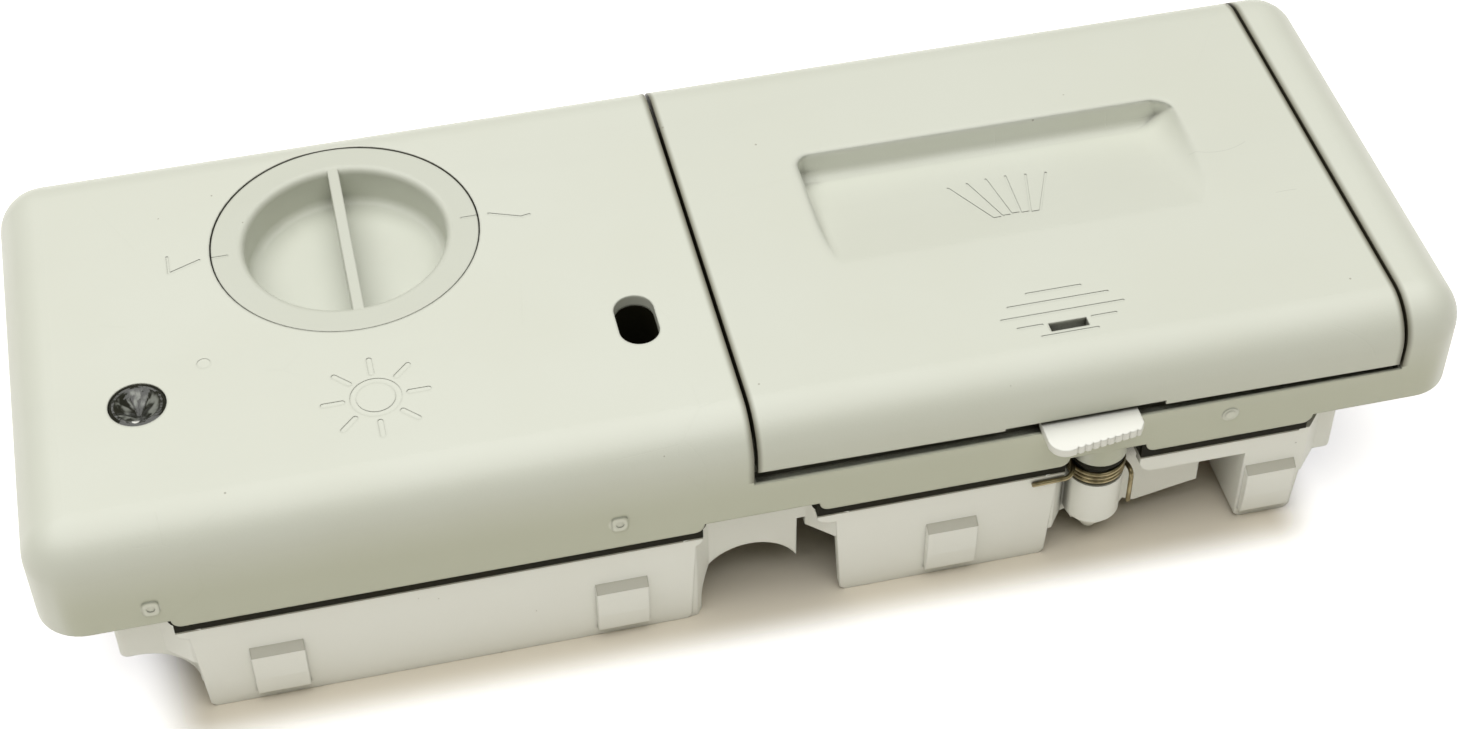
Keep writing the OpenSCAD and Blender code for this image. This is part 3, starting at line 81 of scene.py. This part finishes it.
class Finish:
    """One material: its nodes are added through node(), and its Principled shader closes it."""

    def __init__(self, name, **fixed):
        """fixed: values on the shader's own sockets that are the same all over the surface."""
        self.material = bpy.data.materials.new(name)
        self.material.use_nodes = True
        self.tree = self.material.node_tree
        self.shader = self.tree.nodes["Principled BSDF"]
        for socket, value in fixed.items():
            self.shader.inputs[socket.replace("_", " ")].default_value = value
        self.place = self.node("ShaderNodeTexCoord", output="Object")

    def node(self, kind, settings=None, inputs=None, output=0):
        """Adds a node: its settings first (a ramp's stops as "stops"), then the values or links of its sockets."""
        n = self.tree.nodes.new(kind)
        for key, setting in (settings or {}).items():
            if key == "stops":
                ramp = n.color_ramp
                while len(ramp.elements) < len(setting):
                    ramp.elements.new(0.5)
                for stop, (position, colour) in zip(ramp.elements, setting):
                    stop.position, stop.color = position, colour
            else:
                setattr(n, key, setting)
        for key, value in (inputs or {}).items():
            if isinstance(value, Value):
                self.tree.links.new(value.socket, n.inputs[key])
            elif value is not None:
                n.inputs[key].default_value = value
        return Value(self, n.outputs[output])

    def noise(self, size, detail=2.0, roughness=0.5, stretch=(1, 1, 1), shift=(0, 0, 0)):
        """Cloudy noise from 0 to 1 whose blotches are about size metres across, stretched along an axis."""
        place = self.node("ShaderNodeMapping", {},
                          {"Vector": self.place, "Scale": [1 / s for s in stretch], "Location": shift})
        return self.node("ShaderNodeTexNoise", {},
                         {"Vector": place, "Scale": 1 / size, "Detail": detail, "Roughness": roughness})

    def cells(self, size, feature="F1", output="Distance", shift=(0, 0, 0)):
        """Voronoi cells about size metres across."""
        place = self.node("ShaderNodeMapping", {}, {"Vector": self.place, "Location": shift})
        return self.node("ShaderNodeTexVoronoi", {"feature": feature}, {"Vector": place, "Scale": 1 / size}, output)

    def step(self, value, low, high, to_low=0.0, to_high=1.0):
        """A smooth step of value: to_low below low, to_high above high."""
        limits = {"From Min": low, "From Max": high, "To Min": to_low, "To Max": to_high}
        return self.node("ShaderNodeMapRange", {"interpolation_type": "SMOOTHSTEP"}, {"Value": value, **limits})

    def mix(self, share, first, second, blend="MIX"):
        """Mixes two colours by share, 0 to 1."""
        return self.node("ShaderNodeMix", {"data_type": "RGBA", "blend_type": blend},
                         {0: share, 6: _colour(first), 7: _colour(second)}, 2)

    def edges(self, radius):
        """1 on an edge that bends within radius metres, 0 on flat faces."""
        soft = self.node("ShaderNodeBevel", {"samples": 6}, {"Radius": radius})
        true = self.node("ShaderNodeNewGeometry", output="Normal")
        same = self.node("ShaderNodeVectorMath", {"operation": "DOT_PRODUCT"}, {0: soft, 1: true}, "Value")
        return self.step(1 - same, 0.01, 0.2)

    def hollow(self, reach, low, high):
        """1 deep in a gap narrower than reach metres, 0 in the open and in a shallow mark."""
        air = self.node("ShaderNodeAmbientOcclusion", {"samples": 8}, {"Distance": reach}, "AO")
        return self.step(1 - air, low, high)

    def ledges(self, y):
        """1 on what faces up in front of a value of y, 0 elsewhere."""
        normal = self.node("ShaderNodeNewGeometry", output="Normal")
        up = self.node("ShaderNodeSeparateXYZ", {}, {0: normal}, "Z")
        return (up > 0.5) * (self.axes()[1] < y)

    def rims(self, middle, half, reach, low):
        """1 at two values of x, half to either side of middle, fading to 0 over reach, above z = low."""
        x, _, z = self.axes()
        return self.step(abs(abs(x - middle) - half), 0, reach, 1, 0) * (z > low)

    def low_front(self):
        """1 low on the front face, 0 on the top and on the sides."""
        _, y, z = self.axes()
        return self.step(y, -0.0480, -0.0464, 1, 0) * self.step(z, 0.031, 0.046, 1, 0)

    def outside(self, low, high):
        """How far a place lies outside a rectangle with these two corners, in metres."""
        ways = []
        for along, start, end in zip(self.axes(), low, high):
            off = abs(along - (start + end) / 2) - (end - start) / 2
            ways.append(self.node("ShaderNodeMath", {"operation": "MAXIMUM"}, {0: off, 1: 0}))
        return (ways[0] * ways[0] + ways[1] * ways[1]) ** 0.5

    def spot(self, centre, radius):
        """1 within radius metres of a place, 0 a third further out."""
        x, y, z = self.axes(centre)
        return self.step((x * x + y * y + z * z) ** 0.5, radius, radius * 1.35, 1, 0)

    def hairline(self, middle, reach, bend, width=0.00016):
        """1 on a fine bent scratch: it runs reach metres to either side of its middle along x."""
        x, y, _ = self.axes(middle)
        off = y - x * x * bend
        return (off > -width / 2) * (off < width / 2) * (x > -reach) * (x < reach)

    def within(self, x0, x1, y0, y1):
        """1 between two values of x and two of y in metres, 0 elsewhere."""
        x, y, _ = self.axes()
        return (x > x0) * (x < x1) * (y > y0) * (y < y1)

    def axes(self, centre=(0, 0, 0)):
        """The three coordinates of a place, measured from centre in metres."""
        place = self.node("ShaderNodeMapping", {}, {"Vector": self.place, "Location": [-c for c in centre]})
        return [self.node("ShaderNodeSeparateXYZ", {}, {0: place}, axis) for axis in "XYZ"]

    def close(self, colour=None, roughness=None, heights=(), soft_edge=None, **more):
        """Links what varies to the shader. heights: (value, depth in metres) pairs that are summed into bumps."""
        normal = None
        if soft_edge is not None:
            normal = self.node("ShaderNodeBevel", {"samples": 6}, {"Radius": soft_edge})
        for height, depth in heights:
            bump = {"Height": height, "Distance": depth, "Strength": 1.0, "Normal": normal}
            normal = self.node("ShaderNodeBump", {}, bump)
        links = {"Base Color": colour, "Roughness": roughness, "Normal": normal}
        links.update((socket.replace("_", " "), value) for socket, value in more.items())
        for socket, value in links.items():
            if isinstance(value, Value):
                self.tree.links.new(value.socket, self.shader.inputs[socket])
            elif value is not None:
                self.shader.inputs[socket].default_value = _colour(value)
        return self.material


def _colour(value):
    """A three-number colour gets its fourth; anything else stays."""
    return (*value, 1.0) if isinstance(value, (tuple, list)) and len(value) == 3 else value


# Finishes
def moulded_plastic(name, colour, warm, gloss=0.38, grain=0.00035, depth=0.000012, soft_edge=0.0005,
                    specks=0.035, gap_shade=0.9, gap=0.004, shade=0.0, front_shade=0.0, shaded_ledges=None, rims=None, softer=None,
                    pips=(), hairlines=()):
    """Injection-moulded plastic: a fine grain, faint flow clouds, dust specks, paler edges, painted shade in gaps.

    gap: the widest gap that painted shade darkens, in metres; gap_shade: how much. shade: how much painted shade
    darkens wider hollows.
    front_shade: how much painted shade lies low on the front. shaded_ledges: ledges in front of this value of y get
    painted shade.
    rims: where painted shade darkens the rims of a gap, as in Finish.rims.
    softer: the area (x0, x1, y0, y1) in which the edges are moulded 1.5 mm softer.
    pips: places of the moulded pips, painted paler as a highlight. hairlines: scratches as (middle, reach, bend).
    """
    f = Finish(name, Specular_IOR_Level=0.42)
    clouds = f.noise(0.045, 3, 0.55)
    fine = f.noise(grain, 2, 0.6)
    flow = f.noise(0.018, 4, 0.6, stretch=(4, 1, 1))
    tone = f.mix(f.step(clouds, 0.3, 0.7), colour, warm)
    tone = f.mix(f.step(flow, 0.45, 0.75) * 0.18, tone, [c * 0.93 for c in colour])
    rub = f.edges(0.0009)
    tone = f.mix(rub * 0.25, tone, [min(1, c * 1.07) for c in colour])
    dust = (f.cells(0.0062) < specks) * (f.noise(0.02, 2, 0.5, shift=(3, 1, 7)) > 0.56)
    tone = f.mix(dust * 0.55, tone, (0.22, 0.19, 0.14))
    # Painted shade: the front face darker low down.
    if front_shade:
        tone = f.mix(f.low_front() * front_shade, tone, [c * part for c, part in zip(colour, (0.70, 0.70, 0.56))])
    # A painted highlight: each pip paler.
    for place in pips:
        tone = f.mix(f.spot(place, 0.0014) * 0.5, tone, (0.86, 0.87, 0.80))
    for line in hairlines:
        tone = f.mix(f.hairline(*line) * 0.3, tone, [c * 0.6 for c in colour])
    # Painted shade on ledges that face up under the fascia's overhang.
    if shaded_ledges is not None:
        tone = f.mix(f.ledges(shaded_ledges) * 0.75, tone, (0.42, 0.405, 0.33))
    # Painted shade on the rounded rims beside the lid's gaps.
    if rims is not None:
        tone = f.mix(f.rims(*rims) * 0.8, tone, (0.14, 0.13, 0.08))
    if shade:
        tone = f.mix(f.hollow(0.010, 0.35, 0.75) * shade, tone, [c * 0.5 for c in colour])
    # Painted shade: deep in narrow gaps the colour darkens nearly to black.
    tone = f.mix(f.hollow(gap, 0.42, 0.68) * gap_shade, tone, (0.036, 0.031, 0.015))
    haze = gloss + (clouds - 0.5) * 0.12 + (fine - 0.5) * 0.10 - rub * 0.06 + dust * 0.2
    scratch = f.cells(0.03, "DISTANCE_TO_EDGE", shift=(2, 5, 3))
    marks = (scratch < 0.0025) * (f.noise(0.03, 1, 0.5, shift=(9, 2, 4)) > 0.6)
    haze = haze + marks * 0.12
    if softer:
        soft_edge = f.within(*softer) * 0.0015 + soft_edge
    return f.close(tone, haze, [(fine, depth), (f.noise(0.006, 2, 0.5), 0.00002), (marks, -0.00001)], soft_edge)


def lens_plastic(name, centre, radius):
    """Clear plastic over a dark tank, with painted reflections of its prism: light streaks from the middle out to a
    dark rim.
    """
    f = Finish(name, IOR=1.58, Specular_IOR_Level=0.5, Coat_Weight=0.15, Coat_Roughness=0.03)
    x, y, _ = f.axes(centre)
    out = f.node("ShaderNodeMath", {"operation": "SQRT"}, {0: x * x + y * y}) / radius
    turn = f.node("ShaderNodeMath", {"operation": "ARCTAN2"}, {0: x, 1: -y})
    round_and_out = f.node("ShaderNodeCombineXYZ", {}, {0: turn * 1.9, 1: out * 2.4})
    rays = f.node("ShaderNodeTexNoise", {"noise_dimensions": "2D"},
                  {"Vector": round_and_out, "Scale": 1.0, "Detail": 3.5, "Distortion": 0.4})
    # Painted reflections: lighter streaks from the middle out.
    painted_streaks = f.step(rays, 0.40, 0.66) * f.step(out, 0.22, 0.42) * f.step(out, 0.68, 0.84, 1, 0)
    tone = f.mix(painted_streaks, (0.017, 0.018, 0.013), (0.24, 0.25, 0.225))
    # A painted highlight near the lens's lower edge.
    tone = f.mix(f.spot((centre[0] - radius * 0.1, centre[1] - radius * 0.74, 0.0484), 0.0006), tone,
                 (0.75, 0.75, 0.72))
    return f.close(tone, 0.06 + f.noise(0.001, 2) * 0.06, [(f.noise(0.0009, 2), 0.00002), (rays, 0.0001)])


def moulded_rubber(name, colour=(0.013, 0.012, 0.006)):
    """Black seal rubber: matte, bloomed grey in patches, finely pitted."""
    f = Finish(name, Specular_IOR_Level=0.1)
    bloom = f.step(f.noise(0.007, 3), 0.45, 0.7)
    tone = f.mix(bloom * 0.4, colour, (0.034, 0.031, 0.020))
    tone = f.mix(f.edges(0.0005) * 0.3, tone, (0.06, 0.056, 0.040))
    return f.close(tone, 0.62 + bloom * 0.12, [(f.noise(0.0004, 2), 0.00003)], 0.0003)


def drawn_wire(name, colour, dark, gloss=0.28):
    """Drawn spring wire, with die lines along it and darker tarnish in patches."""
    f = Finish(name, Metallic=1.0)
    tarnish = f.step(f.noise(0.003, 3), 0.42, 0.66)
    lines = f.noise(0.00025, 2, 0.5, stretch=(1, 1, 6))
    tone = f.mix(tarnish * 0.7, colour, dark)
    return f.close(tone, gloss + tarnish * 0.18 + lines * 0.08, [(lines, 0.00001)])


def plated_steel(name, colour=(0.56, 0.57, 0.58), gloss=0.30, spangle=0.0016):
    """Zinc-plated sheet or turned steel: faint crystal patches, rolling marks and white rust at its edges."""
    f = Finish(name, Metallic=1.0)
    crystals = f.cells(spangle, output="Color")
    grey = f.node("ShaderNodeSeparateColor", {}, {0: crystals}, 0)
    rolled = f.noise(0.0006, 3, 0.6, stretch=(10, 1, 1))
    edge = f.edges(0.0004)
    tone = f.mix(grey * 0.5, colour, [c * 0.82 for c in colour])
    tone = f.mix(edge * 0.5, tone, (0.70, 0.70, 0.68))
    return f.close(tone, gloss + grey * 0.08 + rolled * 0.10 + edge * 0.1, [(rolled, 0.000012)], 0.0002)


def enamelled_wire(name):
    """The coil: 0.2 mm enamelled wire in layers round its bobbin, shown by the ridges between its turns, with painted
    light on each crest and painted shade between turns.
    """
    f = Finish(name, Metallic=0.85)
    across = f.axes()[0]
    ridge = f.node("ShaderNodeMath", {"operation": "PINGPONG"}, {0: across, 1: 0.0001}) * 10000
    # Painted light and shade: each turn lighter at its crest, darker between turns.
    tone = f.mix(ridge, (0.16, 0.045, 0.015), (0.46, 0.17, 0.06))
    tone = f.mix(f.step(f.noise(0.004, 3), 0.5, 0.7) * 0.4, tone, (0.25, 0.10, 0.03))
    return f.close(tone, 0.24 + f.noise(0.002, 2) * 0.15, [(ridge, 0.00006)])


lid = np.array([nodes["lid"].matrix_world @ Vector(c) for c in nodes["lid"].bound_box])
lid_middle, lid_half = (lid[:, 0].max() + lid[:, 0].min()) / 2, (lid[:, 0].max() - lid[:, 0].min()) / 2
FASCIA = moulded_plastic("fascia satin plastic", (0.672, 0.690, 0.620), (0.660, 0.676, 0.600), soft_edge=0.0007,
                         gap=0.005, front_shade=0.6, rims=(lid_middle, lid_half + 0.0007, 0.0013, 0.0355),
                         pips=[(x, -0.048, 0.0312) for x in (-0.1082, -0.0283, 0.083)])
LID = moulded_plastic("lid satin plastic", (0.660, 0.678, 0.608), (0.648, 0.664, 0.588), soft_edge=0.0007,
                      gap=0.006, front_shade=0.25, rims=(lid_middle, lid_half, 0.0011, 0.0345),
                      softer=(0.016, 0.096, -0.014, 0.020),
                      hairlines=[((0.0970, 0.0011, 0), 0.0055, 50), ((0.1050, -0.0120, 0), 0.002, -20)])
CAP = moulded_plastic("cap satin plastic", (0.612, 0.630, 0.560), (0.602, 0.618, 0.543), gloss=0.36, gap_shade=0.2)
FRAME = moulded_plastic("frame ivory plastic", (0.945, 0.955, 0.915), (0.935, 0.940, 0.895), gloss=0.42,
                        grain=0.0005, specks=0.02, shade=0.15, gap_shade=0.65, shaded_ledges=-0.0437)
LATCH = moulded_plastic("latch white plastic", (0.845, 0.85, 0.81), (0.835, 0.835, 0.79), gloss=0.34,
                        grain=0.0004, specks=0.0)
NATURAL = moulded_plastic("natural milky plastic", (0.78, 0.785, 0.73), (0.76, 0.76, 0.70), gloss=0.30, specks=0.0)
CLEAR = lens_plastic("lens clear plastic", (-0.1053, -0.0172, 0), 0.0049)
RUBBER = moulded_rubber("seal black rubber")
SPRING = drawn_wire("latch spring wire", (0.31, 0.26, 0.15), (0.09, 0.072, 0.037))
STEEL_SPRING = drawn_wire("bright spring wire", (0.62, 0.62, 0.62), (0.40, 0.40, 0.39))
STEEL = plated_steel("zinc plated steel")
TURNED = plated_steel("turned steel", (0.60, 0.60, 0.61), 0.22, 0.004)
TINNED = plated_steel("tinned brass", (0.70, 0.68, 0.60), 0.26, 0.003)
COPPER = enamelled_wire("enamelled copper wire")

WORN_BY = {
    "fascia": FASCIA, "lid": LID, "rinse_cap": CAP, "rear_frame": FRAME, "latch": LATCH, "pull_rod": LATCH,
    "dosing_lever": LATCH, "valve_plunger": LATCH, "rinse_tank": NATURAL, "dosing_chamber": NATURAL,
    "dose_dial": NATURAL, "coil_bobbin": NATURAL, "frame_gasket": RUBBER, "lens_seal": RUBBER, "lid_seal": RUBBER,
    "latch_seal": RUBBER, "cap_seal": RUBBER, "valve_seal": RUBBER, "outlet_sleeve": RUBBER,
    "level_lens": CLEAR, "latch_spring": SPRING,
    "valve_spring": STEEL_SPRING, "armature_spring": STEEL_SPRING, "hinge_pin": TURNED, "solenoid_yoke": STEEL,
    "pole_piece": TURNED, "armature": TURNED, "lever_pin": TURNED, "pin_clip": STEEL_SPRING, "yoke_screws": STEEL,
    "frame_screws": STEEL, "spade_terminals": TINNED, "coil_winding": COPPER,
}
for node, finish in WORN_BY.items():
    for slot in nodes[node].material_slots:
        slot.material = finish


# Springs, drawn as smooth wire in place of the faceted solids
def wire(name, node, path, radius, centre, axis, finish, sides=14):
    """A round wire: P + radius * (cos a * U + sin a * V) along the path P.

    U points away from the line through centre along axis, square to the path, and V is square to both.
    """
    ahead = np.gradient(path, axis=0)
    ahead /= np.linalg.norm(ahead, axis=1, keepdims=True)
    away = path - centre
    away = away - np.outer(away @ axis, axis)
    away = away - (away * ahead).sum(axis=1, keepdims=True) * ahead
    away /= np.linalg.norm(away, axis=1, keepdims=True)
    beside = np.cross(ahead, away)
    reach = np.full(len(path), radius)
    reach[[0, -1]] *= 0.7
    a = np.linspace(0, 2 * math.pi, sides, endpoint=False)[None, :, None]
    rings = path[:, None] + reach[:, None, None] * (np.cos(a) * away[:, None] + np.sin(a) * beside[:, None])
    i, j = np.meshgrid(np.arange(len(path) - 1) * sides, np.arange(sides), indexing="ij")
    k = (j + 1) % sides
    faces = np.stack([i + j, i + k, i + sides + k, i + sides + j], axis=-1).reshape(-1, 4).tolist()
    last = (len(path) - 1) * sides
    faces += [list(range(sides))[::-1], list(range(last, last + sides))]
    mesh = bpy.data.meshes.new(name)
    mesh.from_pydata(rings.reshape(-1, 3).tolist(), [], faces)
    mesh.polygons.foreach_set("use_smooth", [len(face) == 4 for face in faces])
    mesh.materials.append(finish)
    piece = bpy.data.objects.new(name, mesh)
    bpy.context.collection.objects.link(piece)
    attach(piece, "housing")
    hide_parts(node)
    return piece


def coil(radius, start, turns, rise):
    """Points of a helix about Z: (radius cos a, radius sin a, rise(a / 2 pi)), 32 to a turn."""
    t = np.linspace(0, turns, int(turns * 32) + 1)
    a = start + 2 * math.pi * t
    return np.column_stack([radius * np.cos(a), radius * np.sin(a), rise(t)])


def eased(points, reach=0.0006, apart=0.00025):
    """A path of straight stretches as points a set way apart, with its corners eased by a running mean."""
    along = np.append(0, np.cumsum(np.linalg.norm(np.diff(points, axis=0), axis=1)))
    even = np.arange(0, along[-1], apart)
    path = np.column_stack([np.interp(even, along, points[:, k]) for k in range(3)])
    half = int(reach / apart)
    path = np.pad(path, ((half, half), (0, 0)), mode="reflect", reflect_type="odd")
    mean = np.ones(2 * half + 1) / (2 * half + 1)
    return np.column_stack([np.convolve(path[:, k], mean, "valid") for k in range(3)])


def latch_spring():
    """Torsion spring between boss and nose: a leg down on the right, the turns, a leg along the front on the left."""
    centre = np.array((60.8, -42.6, 0)) * MM
    radius, low, pitch = 4.95, 17.8, 0.93
    start, turns = math.radians(8), 3 + 172 / 360
    front, leg_x, top = -4.3, 5.9, low + pitch * turns
    right_leg = [(leg_x, -3.4, low - 8), (leg_x, -3.4, low - 1), (leg_x, -3, low - 0.3),
                 (leg_x - 0.1, -2, low), (leg_x - 0.4, -0.8, low)]
    left_leg = [(-radius - 0.1, -1.2, top), (-radius - 0.4, -2.6, top - 0.1),
                (-radius - 0.9, front + 0.6, top - 0.3), (-radius - 1.8, front, top - 0.6),
                (-radius - 2.8, front, top - 0.7), (-radius - 8.8, front, top - 0.9)]
    path = np.vstack([right_leg, coil(radius, start, turns, lambda t: low + pitch * t), left_leg]) * MM
    up = np.array((0, 0, 1))
    wire("latch_spring_wire", "latch_spring", eased(path) + centre, 0.45 * MM, centre, up, SPRING)


def pressure_spring(name, node, axis, moved):
    """A compression spring with closed end turns, which fills its node's box.

    axis: from its fixed end to the end that moves.
    """
    thick, turns = 0.7 * MM, 6
    box = np.array([nodes[node].matrix_world @ Vector(c) for c in nodes[node].bound_box])
    low, high, axis = box.min(axis=0), box.max(axis=0), np.array(axis)
    way = int(np.argmax(np.abs(axis)))
    length = (high - low)[way] - thick
    radius = min(np.delete(high - low, way)) / 2 - thick / 2
    rise = lambda t: np.interp(t, (0, 1, turns - 1, turns), (0, thick * 1.05, length - thick * 1.05, length))
    x, y, z = (coil(radius, 0, turns, rise) - (0, 0, length / 2)).T
    path = np.roll(np.column_stack([x, y, z]), way - 2, axis=1) + (low + high) / 2
    piece = wire(name, node, path, thick / 2, (low + high) / 2, np.abs(axis), STEEL_SPRING, sides=10)
    1 - moved / (length + thick)
    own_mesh(piece)


latch_spring()
pressure_spring("armature_spring_wire", "armature_spring", (-1, 0, 0), 4.2 * MM)
pressure_spring("valve_spring_wire", "valve_spring", (0, 1, 0), 3.3 * MM)


# Table, light, camera
def white_table(footprint):
    """A white table top with a painted shadow round what stands on it; what the camera, gloss or glass sees is lifted
    to white outside it.

    footprint: the lowest and the highest corner of the rectangle that the painted shadow lies round.
    """
    mesh = bpy.data.meshes.new("table")
    mesh.from_pydata([(-3, -3, 0), (3, -3, 0), (3, 3, 0), (-3, 3, 0)], [], [(0, 1, 2, 3)])
    table = bpy.data.objects.new("table", mesh)
    bpy.context.collection.objects.link(table)
    f = Finish("white table", Specular_IOR_Level=0.1, Roughness=0.8)
    ray = f.node("ShaderNodeLightPath", output="Is Camera Ray")
    gloss = f.node("ShaderNodeLightPath", output="Is Glossy Ray")
    glass = f.node("ShaderNodeLightPath", output="Is Transmission Ray")
    seen = (ray + gloss + glass).clamped()
    away = f.outside(*footprint)
    # Painted shadow: no lift to white near the footprint.
    lift = f.mix(seen * f.step(away, 0.0, 0.013), (0, 0, 0), (0.60, 0.60, 0.64))
    # Painted shadow: the table warm brown near the footprint, paler further off.
    tone = f.mix(f.step(away, 0.0, 0.008), (0.76, 0.70, 0.60), (0.90, 0.88, 0.83))
    f.shader.inputs["Emission Strength"].default_value = 1.0
    mesh.materials.append(f.close(tone, None, [(f.noise(0.002), 0.00001)], Emission_Color=lift))


def softbox(name, at, towards, size, watts, colour=(1, 1, 1)):
    """A square soft lamp at a point, aimed at another."""
    lamp = bpy.data.lights.new(name, "AREA")
    lamp.shape, lamp.size, lamp.energy, lamp.color = "SQUARE", size, watts, colour
    held = bpy.data.objects.new(name, lamp)
    held.location = at
    held.rotation_euler = (Vector(towards) - Vector(at)).to_track_quat("-Z", "Y").to_euler()
    bpy.context.collection.objects.link(held)


def daylight(strength, colour):
    """Even light from all round."""
    world = bpy.data.worlds.new("studio")
    bpy.context.scene.world = world
    world.use_nodes = True
    back = world.node_tree.nodes["Background"]
    back.inputs["Color"].default_value = (*colour, 1)
    back.inputs["Strength"].default_value = strength


def camera():
    """The photograph's camera: right, down and forward are its axes as fitted to the picture."""
    right = Vector((0.97421554, -0.22548326, -0.00783507))
    down = Vector((-0.16764513, -0.70020777, -0.69397708))
    forward = Vector((0.15099404, 0.67739666, -0.71995446))
    lens = bpy.data.cameras.new("camera")
    lens.sensor_width, lens.lens = 36.0, 36.0 * 2670.8 / 1457
    lens.clip_start, lens.clip_end = 0.01, 20
    held = bpy.data.objects.new("camera", lens)
    turn = Matrix((right, -down, -forward)).transposed()
    held.matrix_world = Matrix.Translation(Vector((-74.59, -344.31, 380.91)) * MM) @ turn.to_4x4()
    bpy.context.collection.objects.link(held)
    bpy.context.scene.camera = held


skirt = np.array([nodes["rear_frame"].matrix_world @ Vector(c) for c in nodes["rear_frame"].bound_box])
# The painted shadow's rectangle lies 22 mm inside both ends of the skirt.
shadow_inset = np.array((0.022, 0, 0))
white_table((skirt.min(axis=0) + shadow_inset, skirt.max(axis=0) - shadow_inset))
daylight(0.145, (1.0, 0.94, 0.66))
softbox("softbox above", (-0.12, 0.05, 1.5), (0, 0, 0), 2.3, 38, (1.0, 1.0, 0.99))
camera()
bpy.context.scene.view_settings.view_transform = "Standard"
